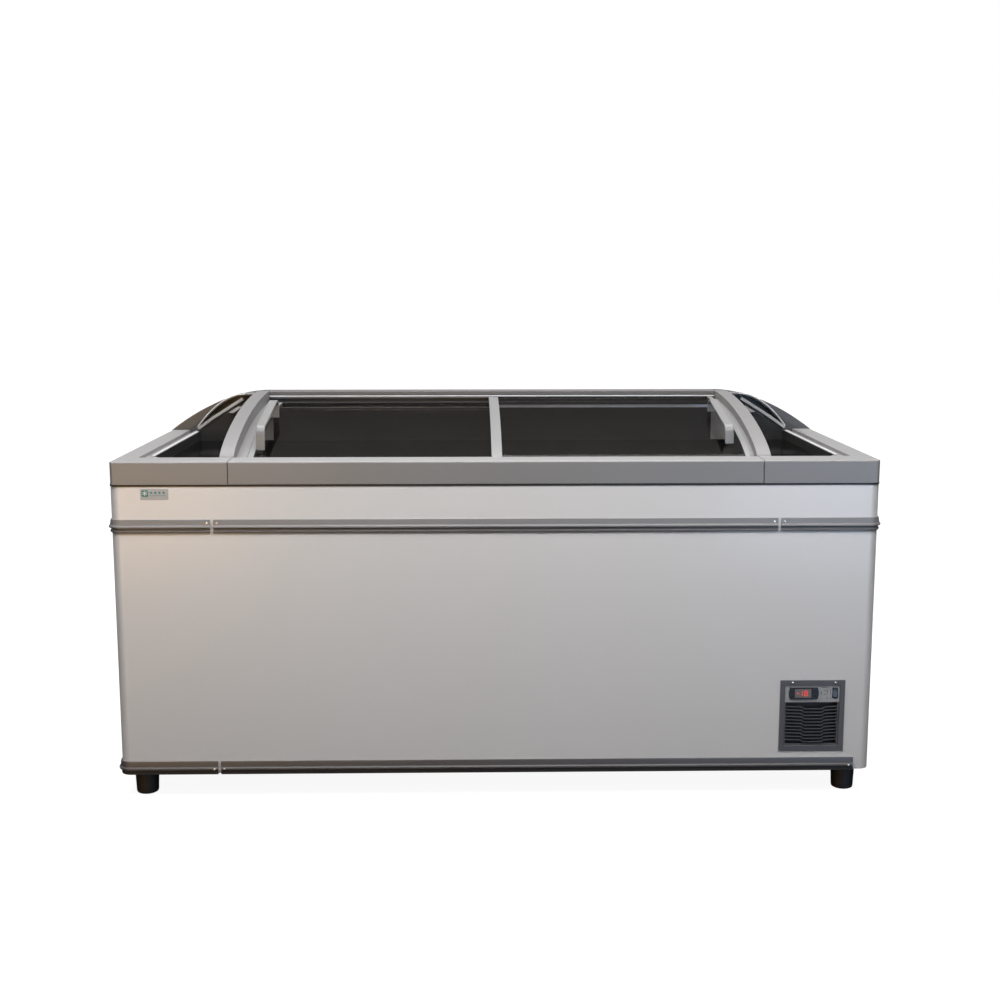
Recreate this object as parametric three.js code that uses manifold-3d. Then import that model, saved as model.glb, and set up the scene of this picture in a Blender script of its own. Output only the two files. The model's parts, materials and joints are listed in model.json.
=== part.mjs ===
// Island display chest freezer with a curved glass top: two sliding lids between
// arched ribs, an insulated tub, and a refrigeration unit behind a front grille.
// Millimetres, +Z up, +X along the length, the customer's side faces -Y.
// The origin is on the floor under the middle of the cabinet.

import * as THREE from 'three';
import { mergeVertices } from 'three/addons/utils/BufferGeometryUtils.js';
import Module from 'manifold-3d';

const wasm = await Module();
wasm.setup();

// ---- driving dimensions -------------------------------------------------

const LENGTH = 1854;
const DEPTH = 750;
const FOOT_HEIGHT = 66;
const RIM = 845;
const FASCIA_HEIGHT = 56;
const CROWN = 113;
const GAP = 0.3;

const SKIN = 1;
const BASE_SKIN = 1.5;
const BODY_INSET = 3;
const BODY_OUT = 4;
const BODY_CORNER = 25;
const END_WALL = 88;
const FRONT_WALL = 80;
const REAR_WALL = 78;
const FLOOR = 142;

const BAY_START = 590;
const BAY_TOP = 330;
const STEP_WALL = 72;

const RIB_INNER = 643;
const RIB_OUTER = 678;
const RIB_DEPTH = 26;
const SEAM = 645;
const SEAM_GAP = 0.9;
const HOOD = 38;
const TRACK_DEPTH = 38;

const GLASS = 5;
const LID_FRAME_HEIGHT = 12;

const BUMPER_TOP = 704;
const BUMPER_SPLIT = 686.5;
const BASE_RAIL_TOP = 97.5;
const BASE_RAIL_SPLIT = 686.5;
const RAIL_JOINT = 7;

const GRILLE_LEFT = 701;
const GRILLE_RIGHT = 862.5;
const GRILLE_BOTTOM = 115;
const GRILLE_TOP = 296;
const GRILLE_BAR = 12.5;

const FOOT_X = 880;
const FOOT_Y = 313;
const FOOT_TOP_RADIUS = 30;
const FOOT_BOTTOM_RADIUS = 26.5;

// ---- derived places -----------------------------------------------------

const END = LENGTH / 2;
const BODY_END = END + BODY_OUT;
const FRONT = -DEPTH / 2;
const BODY_FRONT = FRONT + BODY_INSET;
const BODY_REAR = -BODY_FRONT;
const FASCIA_BOTTOM = RIM - FASCIA_HEIGHT;
const INNER_END = END - END_WALL;
const INNER_FRONT = FRONT + FRONT_WALL;
const INNER_REAR = -FRONT - REAR_WALL;
const HOOD_FRONT = -FRONT - HOOD;
const TRACK_FLOOR = RIM - TRACK_DEPTH;
const SKIRT = RIM - 26;
const FOAM_TOP = FASCIA_BOTTOM - GAP;
const STEP_TOP = BAY_TOP + STEP_WALL;
const STEP_FACE = BAY_START - STEP_WALL;

// ---- colours ------------------------------------------------------------

const FINISH = {
  whiteSteel: [0xd9d7d6, 0.35, 0.1],
  greyPlastic: [0x8f8d8e, 0.5, 0],
  lightPlastic: [0xbfbdbd, 0.5, 0],
  darkPlastic: [0x5c5b5d, 0.55, 0],
  blackPlastic: [0x17171a, 0.5, 0],
  liner: [0x3c3b3c, 0.45, 0.2],
  foam: [0xe2d4a4, 0.95, 0],
  glass: [0x9fb0b4, 0.05, 0],
  steel: [0xa8a9ab, 0.35, 0.9],
  aluminium: [0xb4b6b8, 0.35, 0.9],
  copper: [0xb0683c, 0.35, 0.9],
  rubber: [0x1b1b1c, 0.8, 0],
  display: [0x6f6a6a, 0.2, 0],
};

// ---- geometry helpers ---------------------------------------------------

function toSolid(geometry) {
  const bare = geometry.clone();
  bare.deleteAttribute('normal');
  bare.deleteAttribute('uv');
  const merged = mergeVertices(bare, 1e-4);
  return new wasm.Manifold(new wasm.Mesh({
    numProp: 3,
    vertProperties: new Float32Array(merged.attributes.position.array),
    triVerts: new Uint32Array(merged.index.array),
  }));
}

function toGeometry(solid) {
  const mesh = solid.getMesh();
  const geometry = new THREE.BufferGeometry();
  const positions = new Float32Array(mesh.vertProperties);
  geometry.setAttribute('position', new THREE.BufferAttribute(positions, 3));
  geometry.setIndex(new THREE.BufferAttribute(new Uint32Array(mesh.triVerts), 1));
  geometry.computeVertexNormals();
  return geometry;
}

const join = (...parts) => toGeometry(parts.map(toSolid).reduce((a, b) => a.add(b)));
const cut = (base, ...tools) => toGeometry(
  tools.map(toSolid).reduce((a, b) => a.subtract(b), toSolid(base)));
const overlap = (...parts) => toGeometry(parts.map(toSolid).reduce((a, b) => a.intersect(b)));

function box([x0, x1], [y0, y1], [z0, z1]) {
  const geometry = new THREE.BoxGeometry(x1 - x0, y1 - y0, z1 - z0);
  return geometry.translate((x0 + x1) / 2, (y0 + y1) / 2, (z0 + z1) / 2);
}

function extrude(points, length) {
  const shape = new THREE.Shape(points.map(([u, v]) => new THREE.Vector2(u, v)));
  return new THREE.ExtrudeGeometry(shape, { depth: length, bevelEnabled: false });
}

// An outline in the plan (x, y), standing from z0 to z1.
const prismZ = (points, [z0, z1]) => extrude(points, z1 - z0).translate(0, 0, z0);

// An outline in the front view (x, z), running from y0 to y1.
const prismY = (points, [y0, y1]) => extrude(points, y1 - y0)
  .rotateX(Math.PI / 2)
  .translate(0, y1, 0);

// An outline in the side view (y, z), running from x0 to x1.
function prismX(points, [x0, x1]) {
  const turn = new THREE.Matrix4().makeBasis(
    new THREE.Vector3(0, 1, 0),
    new THREE.Vector3(0, 0, 1),
    new THREE.Vector3(1, 0, 0),
  );
  return extrude(points, x1 - x0).applyMatrix4(turn).translate(x0, 0, 0);
}

// Skins a row of closed outlines, each a list of [x, y, z] with the same count.
function loft(outlines) {
  const count = outlines[0].length;
  const points = outlines.flat();
  const faces = [];
  for (let i = 0; i + 1 < outlines.length; i += 1) {
    for (let j = 0; j < count; j += 1) {
      const a = i * count + j;
      const b = i * count + (j + 1) % count;
      faces.push([a, b, b + count], [a, b + count, a + count]);
    }
  }
  const last = (outlines.length - 1) * count;
  capFaces(outlines[0]).forEach(([a, b, c]) => faces.push([c, b, a]));
  capFaces(outlines.at(-1)).forEach(([a, b, c]) => faces.push([a + last, b + last, c + last]));
  if (signedVolume(points, faces) < 0) faces.forEach((face) => face.reverse());
  const geometry = new THREE.BufferGeometry();
  geometry.setAttribute('position', new THREE.Float32BufferAttribute(points.flat(), 3));
  geometry.setIndex(faces.flat());
  geometry.computeVertexNormals();
  return geometry;
}

// Triangles over one outline, turned the way that its points run.
function capFaces(outline) {
  const corners = outline.map((p) => new THREE.Vector3(...p));
  const normal = new THREE.Vector3();
  corners.forEach((p, i) => normal.add(p.clone().cross(corners[(i + 1) % corners.length])));
  const flat = new THREE.Quaternion().setFromUnitVectors(
    normal.normalize(),
    new THREE.Vector3(0, 0, 1),
  );
  const flattened = corners.map((p) => {
    const turned = p.clone().applyQuaternion(flat);
    return new THREE.Vector2(turned.x, turned.y);
  });
  return THREE.ShapeUtils.triangulateShape(flattened, []);
}

function signedVolume(points, faces) {
  const corner = (i) => new THREE.Vector3(...points[i]);
  return faces.reduce((sum, [a, b, c]) => (
    sum + corner(a).dot(corner(b).cross(corner(c)))), 0);
}

const steps = (from, to, count) => Array.from(
  { length: count + 1 },
  (_, i) => from + ((to - from) * i) / count,
);

const arc = (x, y, radius, from, to, count) => steps(from, to, count).map((degrees) => {
  const angle = THREE.MathUtils.degToRad(degrees);
  return [x + radius * Math.cos(angle), y + radius * Math.sin(angle)];
});

const mirrorX = (points) => points.map(([x, y]) => [-x, y]).reverse();

// Puts a piece made for the right-hand end on either end.
function onSide(side, geometry) {
  if (side > 0) return geometry;
  return toGeometry(toSolid(geometry).mirror([1, 0, 0]));
}

// ---- the crown line -----------------------------------------------------

const CROWN_START = 80;
const CROWN_PEAK = 760;
const CROWN_POWER = 0.76;

// Height of the ribs above the floor, a distance behind the fascia's front.
function crown(distance) {
  const u = (CROWN_PEAK - distance) / (CROWN_PEAK - CROWN_START);
  return RIM + CROWN * Math.max(0, 1 - u * u) ** CROWN_POWER;
}

// Stations closer together where the crown is steep.
function crownStations(from, to, count) {
  const span = CROWN_PEAK - CROWN_START;
  const angle = (distance) => Math.acos((CROWN_PEAK - distance) / span);
  return steps(angle(from), angle(to), count).map((a) => CROWN_PEAK - span * Math.cos(a));
}

// A band under the crown line as a side-view outline, its top and base set by drops.
function crownBand([from, to], topDrop, baseDrop, count = 22) {
  const stations = crownStations(from, to, count);
  const top = stations.map((d) => [FRONT + d, crown(d) - topDrop]);
  const base = stations.map((d) => [FRONT + d, crown(d) - baseDrop]);
  return [...base, ...top.reverse()];
}

// ---- cabinet ------------------------------------------------------------

// A sheet across the front with both rounded corners, closed by its inner face.
function frontSheet([z0, z1]) {
  const x = BODY_END - BODY_CORNER;
  const y = BODY_REAR - BODY_CORNER;
  const outer = [...arc(-x, -y, BODY_CORNER, 180, 270, 8),
    ...arc(x, -y, BODY_CORNER, 270, 360, 8)];
  const inner = [...arc(x, -y, BODY_CORNER - SKIN, 360, 270, 8),
    ...arc(-x, -y, BODY_CORNER - SKIN, 270, 180, 8)];
  return prismZ([...outer, ...inner], [z0, z1]);
}

function frontPanel() {
  const sheet = frontSheet([FOOT_HEIGHT, FASCIA_BOTTOM - GAP]);
  const window = box(
    [GRILLE_LEFT + 4, GRILLE_RIGHT - 4],
    [BODY_FRONT - 10, BODY_FRONT + 10],
    [GRILLE_BOTTOM + 4, GRILLE_TOP - 4],
  );
  return cut(sheet, window);
}

const VENT_X = [660, 830];
const VENT_BOTTOMS = steps(130, 262, 6);
const VENT_HEIGHT = 8;

function rearPanel() {
  const sheet = frontSheet([FOOT_HEIGHT, FASCIA_BOTTOM - GAP]).rotateZ(Math.PI);
  const vents = VENT_BOTTOMS.map((z) => box(
    VENT_X,
    [BODY_REAR - 10, BODY_REAR + 10],
    [z, z + VENT_HEIGHT],
  ));
  return cut(sheet, ...vents);
}

function sidePanel(side) {
  const reach = BODY_REAR - BODY_CORNER - GAP;
  return onSide(side, box(
    [BODY_END - SKIN, BODY_END],
    [-reach, reach],
    [FOOT_HEIGHT, FASCIA_BOTTOM - GAP],
  ));
}

function basePan() {
  const x = BODY_END - SKIN - GAP;
  const y = BODY_REAR - SKIN - GAP;
  const r = BODY_CORNER - SKIN;
  const outline = [
    ...arc(x - r, y - r, r, 0, 90, 6),
    ...arc(-x + r, y - r, r, 90, 180, 6),
    ...arc(-x + r, -y + r, r, 180, 270, 6),
    ...arc(x - r, -y + r, r, 270, 360, 6),
  ];
  return prismZ(outline, [FOOT_HEIGHT, FOOT_HEIGHT + BASE_SKIN]);
}

const FOAM_FLOOR = FOOT_HEIGHT + BASE_SKIN + GAP;
const TUB_SKIN = 1;
const FOAM_END = INNER_END + TUB_SKIN + GAP;
const FOAM_FRONT = INNER_FRONT - TUB_SKIN - GAP;
const FOAM_REAR = INNER_REAR + TUB_SKIN + GAP;

// The long walls step up over the machine bay at the right-hand end.
function longFoam(y0, y1) {
  const x = BODY_END - BODY_CORNER - GAP;
  const outline = [
    [-x, FOAM_FLOOR],
    [BAY_START - GAP, FOAM_FLOOR],
    [BAY_START - GAP, BAY_TOP],
    [x, BAY_TOP],
    [x, FOAM_TOP],
    [-x, FOAM_TOP],
  ];
  return prismY(outline, [y0, y1]);
}

const COIL_RADIUS = 2.5;
const COIL_SPACE = 6;
const COIL_REACH = 780;
const COIL_TURN = 22;
const COIL_BOTTOM = 250;
const COIL_TOP = 710;

const foamFront = () => longFoam(BODY_FRONT + SKIN + GAP, FOAM_FRONT);
const foamRear = () => longFoam(FOAM_REAR + COIL_SPACE, BODY_REAR - SKIN - GAP);

const foamEnd = (side) => onSide(side, box(
  [FOAM_END, BODY_END - SKIN - GAP],
  [FOAM_FRONT + GAP, FOAM_REAR + COIL_SPACE - GAP],
  [side > 0 ? BAY_TOP : FOAM_FLOOR, FOAM_TOP],
));

const foamFloor = () => box(
  [-FOAM_END + GAP, BAY_START - GAP],
  [FOAM_FRONT + GAP, FOAM_REAR - GAP],
  [FOAM_FLOOR, FLOOR - TUB_SKIN - GAP],
);

// The insulated step that lifts the tub's floor over the machine bay.
function foamStep() {
  const outline = [
    [STEP_FACE + TUB_SKIN + GAP, FLOOR - TUB_SKIN],
    [BAY_START - GAP, FLOOR - TUB_SKIN],
    [BAY_START - GAP, BAY_TOP],
    [FOAM_END - GAP, BAY_TOP],
    [FOAM_END - GAP, STEP_TOP - TUB_SKIN - GAP],
    [STEP_FACE + TUB_SKIN + GAP, STEP_TOP - TUB_SKIN - GAP],
  ];
  return prismY(outline, [FOAM_FRONT + GAP, FOAM_REAR - GAP]);
}

// The tub: one pressed liner, open at the top, stepped at the right-hand end.
function tubOutline(grow, base) {
  const end = INNER_END + grow;
  return [
    [-end, FLOOR - grow],
    [STEP_FACE + grow, FLOOR - grow],
    [STEP_FACE + grow, STEP_TOP - grow],
    [end, STEP_TOP - grow],
    [end, base],
    [-end, base],
  ];
}

const DRAIN = [-700, 0, 11];

function innerTub() {
  const shell = prismY(
    tubOutline(TUB_SKIN, SKIRT - GAP),
    [INNER_FRONT - TUB_SKIN, INNER_REAR + TUB_SKIN],
  );
  const hollow = prismY(tubOutline(0, RIM), [INNER_FRONT, INNER_REAR]);
  const frontDrop = box(
    [-END, END],
    [INNER_FRONT - 10, INNER_FRONT + 1],
    [FOAM_TOP, RIM],
  );
  const drain = new THREE.CylinderGeometry(DRAIN[2], DRAIN[2], 20, 24)
    .rotateX(Math.PI / 2)
    .translate(DRAIN[0], DRAIN[1], FLOOR);
  return cut(shell, hollow, frontDrop, drain);
}

function drainPlug() {
  const under = GAP - TUB_SKIN;
  const profile = [[0, under], [9, under], [10.5, GAP], [16, GAP], [16, 3], [4, 4], [4, 9], [0, 9]];
  return lathe(profile, 24).translate(DRAIN[0], DRAIN[1], FLOOR);
}

// A turned piece about +Z from [radius, height] points that start and end on the axis.
function lathe(profile, segments) {
  const points = profile.map(([r, z]) => new THREE.Vector2(r, z));
  return new THREE.LatheGeometry(points, segments).rotateX(Math.PI / 2);
}

// One serpentine of pipe on the back of the tub's rear wall.
function evaporatorCoil() {
  const y = FOAM_REAR + COIL_SPACE / 2 - GAP;
  const reach = COIL_REACH;
  const turn = COIL_TURN;
  const rows = steps(COIL_BOTTOM, COIL_TOP, 5);
  const points = [];
  rows.forEach((z, i) => {
    const way = i % 2 ? 1 : -1;
    points.push([way * -(reach - turn), y, z], [way * (reach - turn), y, z]);
    if (i + 1 < rows.length) {
      points.push([way * reach, y, z + turn], [way * reach, y, rows[i + 1] - turn]);
    }
  });
  return pipe(points, COIL_RADIUS, 6);
}

// A mitred pipe: one ring of the section at each point, square to the bend.
function pipe(points, radius, sides) {
  const path = points.map((p) => new THREE.Vector3(...p));
  const rings = path.map((p, i) => {
    const before = p.clone().sub(path[Math.max(i - 1, 0)]);
    const after = path[Math.min(i + 1, path.length - 1)].clone().sub(p);
    return ringAcross(p, before, after, radius, sides);
  });
  return loft(rings);
}

function ringAcross(point, before, after, radius, sides) {
  const a = (before.length() ? before : after).clone().normalize();
  const b = (after.length() ? after : before).clone().normalize();
  const across = a.clone().add(b).normalize();
  const stretch = 1 / Math.max(across.dot(a), 0.5);
  const reference = new THREE.Vector3(0, 1, 0);
  const side = reference.clone().sub(across.clone().multiplyScalar(reference.dot(across)));
  side.normalize();
  const up = side.clone().cross(across).normalize();
  return Array.from({ length: sides }, (_, k) => {
    const angle = (2 * Math.PI * (k + 0.5)) / sides;
    const offset = side.clone().multiplyScalar(radius * Math.cos(angle));
    offset.add(up.clone().multiplyScalar(radius * stretch * Math.sin(angle)));
    return point.clone().add(offset).toArray();
  });
}

// ---- top frame ----------------------------------------------------------

const EDGE_ROUND = 5;
const GROOVE = [53, 71];
const GROOVE_DEPTH = 9;
const RAIL_CORNER = 10;

// Side view of the front rail: fascia, flat top and the sunk ledge for the tracks.
function frontRail() {
  const track = FRONT + 78;
  const ledge = FRONT + 108;
  const outline = [
    [FRONT, FASCIA_BOTTOM],
    [ledge, FASCIA_BOTTOM],
    [ledge, TRACK_FLOOR],
    [track, TRACK_FLOOR],
    [track, RIM],
    ...arc(FRONT + EDGE_ROUND, RIM - EDGE_ROUND, EDGE_ROUND, 90, 180, 5),
  ];
  return prismX(outline, [-SEAM + SEAM_GAP, SEAM - SEAM_GAP]);
}

// The rounded outer shape that one end of the top frame is cut from.
function endEnvelope() {
  const back = HOOD_FRONT - GAP;
  const side = prismX([
    [FRONT, FASCIA_BOTTOM],
    [back, FASCIA_BOTTOM],
    [back, RIM],
    ...arc(FRONT + EDGE_ROUND, RIM - EDGE_ROUND, EDGE_ROUND, 90, 180, 5),
  ], [SEAM + SEAM_GAP, END]);
  const front = prismY([
    [SEAM + SEAM_GAP, FASCIA_BOTTOM],
    [END, FASCIA_BOTTOM],
    ...arc(END - EDGE_ROUND, RIM - EDGE_ROUND, EDGE_ROUND, 0, 90, 5),
    [SEAM + SEAM_GAP, RIM],
  ], [FRONT - 1, back + 1]);
  const plan = prismZ([
    [SEAM, FRONT],
    ...arc(END - RAIL_CORNER, FRONT + RAIL_CORNER, RAIL_CORNER, 270, 360, 6),
    [END, back + 1],
    [SEAM, back + 1],
  ], [FASCIA_BOTTOM - 1, RIM + 1]);
  return overlap(side, front, plan);
}

// The front corner and the end rail of the top frame, moulded as one piece.
function endFrame(side) {
  const opening = box([SEAM - 5, INNER_END], [INNER_FRONT, HOOD_FRONT + 5], [700, 900]);
  const linerSeat = box(
    [SEAM - 5, INNER_END + TUB_SKIN + GAP],
    [INNER_FRONT - TUB_SKIN - GAP, HOOD_FRONT + 5],
    [700, SKIRT],
  );
  const groove = box(
    [END - GROOVE[1], END - GROOVE[0]],
    [INNER_FRONT, HOOD_FRONT + 5],
    [RIM - GROOVE_DEPTH, RIM + 5],
  );
  return onSide(side, cut(endEnvelope(), opening, linerSeat, groove));
}

const SHOULDER = 280;
const SHOULDER_POWER = 1.9;
const RAIL_HEIGHT = 21.6;
const HOOD_TOP = RIM + CROWN - 0.1;

// Outer line of the rear hood over one shoulder, from the end inwards.
function shoulderLine(count) {
  return steps(0, SHOULDER, count).map((d) => {
    const t = 1 - d / SHOULDER;
    return [END - d, RIM + (CROWN - 0.1) * (1 - t ** SHOULDER_POWER)];
  });
}

function rearHood() {
  const right = [
    [END, FASCIA_BOTTOM],
    ...shoulderLine(14),
    [RIB_INNER + GAP, HOOD_TOP],
    [RIB_INNER + GAP, HOOD_TOP - RAIL_HEIGHT - GAP],
  ];
  return prismY([...right, ...mirrorX(right)], [HOOD_FRONT, -FRONT]);
}

const RIDGE_FRONT = FRONT + 700;

function ridgeRail() {
  const base = HOOD_TOP - RAIL_HEIGHT;
  const round = 3;
  const outline = [
    [RIDGE_FRONT, base],
    [-FRONT, base],
    ...arc(-FRONT - round, HOOD_TOP - round, round, 0, 90, 3),
    ...arc(RIDGE_FRONT + round, HOOD_TOP - round, round, 90, 180, 3),
  ];
  return prismX(outline, [-RIB_INNER, RIB_INNER]);
}

const RISER_TOP = RIM + 66;
const RISER_SHOULDER = RIM + 84;

// The inner wall of the rear hood, from the tub's rim up to the rear tracks.
function rearRiser() {
  const edge = INNER_END - GAP;
  const half = [
    [edge, FASCIA_BOTTOM],
    [edge, RIM + 2],
    [END - 219, RISER_SHOULDER],
    [RIB_INNER - 1, RISER_SHOULDER],
    [RIB_INNER - 1, RISER_TOP],
  ];
  const wall = prismY([...half, ...mirrorX(half)], [INNER_REAR, HOOD_FRONT - GAP]);
  const linerSeat = box(
    [-END, END],
    [INNER_REAR - 5, INNER_REAR + TUB_SKIN + GAP],
    [700, SKIRT],
  );
  return cut(wall, linerSeat);
}

// Side view of a double-channel track: a floor and the fin between the channels.
function track(x, [y0, y1], finAt, floor, finTop) {
  const thick = 1.5;
  const fin = 2;
  return prismX([
    [y0, floor],
    [y1, floor],
    [y1, floor + thick],
    [finAt + fin, floor + thick],
    [finAt + fin, finTop],
    [finAt, finTop],
    [finAt, floor + thick],
    [y0, floor + thick],
  ], [-x, x]);
}

const frontTrack = () => track(RIB_INNER - 1, [FRONT + 78.3, FRONT + 107.5], FRONT + 91,
  TRACK_FLOOR + GAP, RIM - 24);
const rearTrack = () => track(RIB_INNER - 1.5, [FRONT + 673, FRONT + 699.5], FRONT + 687,
  RISER_TOP + GAP, RIM + 73);

const POST_INNER = 645;
const POST_DEPTH = 11;

// Ledges along the ribs' inner sides, each level with the lid that runs beside it:
// the ledge's inner edge, and how far its top and base lie under the crown line.
const RIB_LEDGE = {
  left: [617, 31, 41],
  right: [632, 20, 30],
};
const LEDGE_REACH = [109, 668];
const RIB_WEB = 7;

// One arched rib with the post that carries its rear end down to the tub's rim.
function rib(side) {
  const [ledgeEdge, ledgeTop, ledgeBase] = side > 0 ? RIB_LEDGE.right : RIB_LEDGE.left;
  const bar = prismX(
    crownBand([CROWN_START + GAP, DEPTH - HOOD - GAP], 0, RIB_DEPTH),
    [RIB_INNER, RIB_OUTER],
  );
  const web = prismX(
    crownBand(LEDGE_REACH, RIB_DEPTH - 4, ledgeBase),
    [RIB_INNER, RIB_INNER + RIB_WEB],
  );
  const ledge = prismX(crownBand(LEDGE_REACH, ledgeTop, ledgeBase), [ledgeEdge, RIB_INNER + 1]);
  const post = box(
    [POST_INNER, RIB_OUTER],
    [INNER_REAR - GAP - POST_DEPTH, INNER_REAR - GAP],
    [SKIRT, RISER_SHOULDER + 6],
  );
  return onSide(side, join(bar, web, ledge, post));
}

const ARCH_FOOT = 74;
const ARCH_START = 76;
const ARCH_END = 224;
const ARCH_TOP = 108;

// The inner shoulder: a curved shelf between the end rail and the rib.
function shoulderShelf(side) {
  const thick = 5;
  const height = (d) => {
    const t = Math.max(0, (ARCH_END - d) / (ARCH_END - ARCH_FOOT));
    return ARCH_TOP * (1 - t * t);
  };
  const stations = [...steps(ARCH_START, ARCH_END, 12), END - RIB_OUTER - 0.5];
  const top = stations.map((d) => [END - d, RIM + height(d)]);
  const base = stations.map((d) => [END - d, RIM + Math.max(height(d) - thick, 0.6)]);
  return onSide(side, prismY([...top, ...base.reverse()], [INNER_REAR - 1, HOOD_FRONT - GAP]));
}

const PANE = 4;
const PANE_END = 249;
const PANE_SHARE = 0.93;

// A clear pane that falls away from the rib to the end rail, curved both ways.
function endWindow(side) {
  const near = CROWN_START + 4;
  const far = DEPTH - REAR_WALL - 4;
  const depths = crownStations(near, far, 14);
  const rise = (d) => {
    const t = Math.max(0, (PANE_END - d) / (PANE_END - ARCH_FOOT));
    return PANE_SHARE * (1 - t * t);
  };
  const section = (d) => {
    const base = depths.map((y) => [END - d, FRONT + y, RIM + 0.7 + (crown(y) - RIM) * rise(d)]);
    const top = base.map(([x, y, z]) => [x, y, z + PANE]).reverse();
    return [...base, ...top];
  };
  return onSide(side, loft(steps(78, END - RIB_OUTER - 1, 12).map(section)));
}

// ---- bumpers ------------------------------------------------------------

// Rail sections as [distance out from the body, height under the top edge].
const BUMPER_SECTION = [[0.3, 0], [2.5, 0], [3.5, -3], [5, -13], [8, -16.5], [8, -20],
  [2.5, -22.5], [2.5, -26], [4.5, -27], [4.5, -30], [3.5, -32], [0.3, -32]];
const BASE_SECTION = [[0.3, 0], [3, 0], [4, -3], [4.5, -14], [8, -17], [8, -21], [3.5, -23],
  [3, -30], [2, -34], [0.3, -34]];

// Sweeps a rail section along a row of places on the body's outline.
function sweepRail(section, top, places) {
  return loft(places.map(({ x, y, nx, ny }) => (
    section.map(([out, drop]) => [x + nx * out, y + ny * out, top + drop]))));
}

const CORNER_STEPS = 7;

function cornerPlaces(cx, cy, from, to) {
  return steps(from, to, CORNER_STEPS).map((degrees) => {
    const angle = THREE.MathUtils.degToRad(degrees);
    const nx = Math.cos(angle);
    const ny = Math.sin(angle);
    return { x: cx + BODY_CORNER * nx, y: cy + BODY_CORNER * ny, nx, ny };
  });
}

const straight = (x, y, nx, ny) => ({ x, y, nx, ny });
const CX = BODY_END - BODY_CORNER;
const CY = BODY_REAR - BODY_CORNER;

// Starts on the front, turns the front corner, runs down the end and round the rear corner.
function wrapRail(section, top, frontX, rearX) {
  return sweepRail(section, top, [
    straight(frontX, -BODY_REAR, 0, -1),
    ...cornerPlaces(CX, -CY, -90, 0),
    ...cornerPlaces(CX, CY, 0, 90),
    straight(rearX, BODY_REAR, 0, 1),
  ]);
}

const JOINT = RAIL_JOINT / 2;
const bumperEnd = (side) => onSide(side, wrapRail(BUMPER_SECTION, BUMPER_TOP,
  BUMPER_SPLIT + JOINT, BUMPER_SPLIT + JOINT));

function bumperLength(way) {
  const x = BUMPER_SPLIT - JOINT;
  return sweepRail(BUMPER_SECTION, BUMPER_TOP, [
    straight(-x, way * BODY_REAR, 0, way),
    straight(x, way * BODY_REAR, 0, way),
  ]);
}

const BASE_RAIL_END = 889;

function baseRailFront() {
  return sweepRail(BASE_SECTION, BASE_RAIL_TOP, [
    straight(-BASE_RAIL_SPLIT + JOINT, -BODY_REAR, 0, -1),
    straight(BASE_RAIL_END, -BODY_REAR, 0, -1),
  ]);
}

function baseRailLeft() {
  return onSide(-1, sweepRail(BASE_SECTION, BASE_RAIL_TOP, [
    straight(BASE_RAIL_SPLIT + JOINT, -BODY_REAR, 0, -1),
    ...cornerPlaces(CX, -CY, -90, 0),
    straight(BODY_END, BODY_REAR - 60, 1, 0),
  ]));
}

// ---- sliding lids -------------------------------------------------------

// Each lid: where it stops along x, where its edge bars run, how far it lies
// under the crown line, and the widths of its inner and outer frame strips.
const LIDS = {
  right: {
    outer: [619, 631],
    inner: [-11, 15],
    reach: [82, 698],
    drop: 16,
    frontBarTop: RIM - 11,
    handle: [579, 601],
  },
  left: {
    outer: [-616, -602],
    inner: [-2, 12],
    reach: [94, 686],
    drop: 30,
    frontBarTop: RIM - 20.5,
    handle: [-601, -579],
  },
};
const EDGE_BAR = 8;
const GLASS_DROP = 2;

function lidSpan(lid) {
  const all = [...lid.outer, ...lid.inner];
  return [Math.min(...all), Math.max(...all)];
}

// Four strips round the glass: two arched, and straight bars that run in the tracks.
function lidFrame(lid) {
  const [near, far] = lid.reach;
  const strip = crownBand([near, far], lid.drop, lid.drop + LID_FRAME_HEIGHT, 18);
  const span = lidSpan(lid);
  const frontBar = box(
    span,
    [FRONT + near, FRONT + near + EDGE_BAR],
    [TRACK_FLOOR + 2.1, lid.frontBarTop],
  );
  const rearBar = box(
    span,
    [FRONT + far - EDGE_BAR, FRONT + far],
    [RISER_TOP + 2.1, crown(far) - lid.drop],
  );
  return join(prismX(strip, lid.outer), prismX(strip, lid.inner), frontBar, rearBar);
}

function lidGlass(lid) {
  const [near, far] = lid.reach;
  const [x0, x1] = [lid.outer, lid.inner].sort((a, b) => a[0] - b[0]);
  const drop = lid.drop + GLASS_DROP;
  const sheet = crownBand(
    [near + EDGE_BAR + GAP, far - EDGE_BAR - GAP],
    drop,
    drop + GLASS,
    18,
  );
  return prismX(sheet, [x0[1] + GAP, x1[0] - GAP]);
}

const HANDLE_FRONT = 168;
const HANDLE_REAR = 440;
const HANDLE_THICK = 5.5;

// Centre line of a bow handle in the side view, as [distance behind the fascia's
// front, height over the rim]: a leg that leans back, the rising bar, a curled-down end.
const HANDLE_LINE = [
  [HANDLE_FRONT + 2.5, 38],
  [HANDLE_FRONT + 4, 50],
  [HANDLE_FRONT + 7, 57.5],
  [HANDLE_FRONT + 13, 63],
  [HANDLE_FRONT + 22, 66.5],
  [HANDLE_REAR - 40, 106.5],
  [HANDLE_REAR - 24, 108],
  [HANDLE_REAR - 10, 105.5],
  [HANDLE_REAR - 2, 99],
  [HANDLE_REAR, 90],
];

// The two sides of a band round a centre line, the same width all along.
function bandSides(line, width) {
  return [1, -1].map((way) => line.map(([u, v], i) => {
    const [u0, v0] = line[Math.max(i - 1, 0)];
    const [u1, v1] = line[Math.min(i + 1, line.length - 1)];
    const reach = (way * width) / (2 * Math.hypot(u1 - u0, v1 - v0));
    return [u - reach * (v1 - v0), v + reach * (u1 - u0)];
  }));
}

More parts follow.
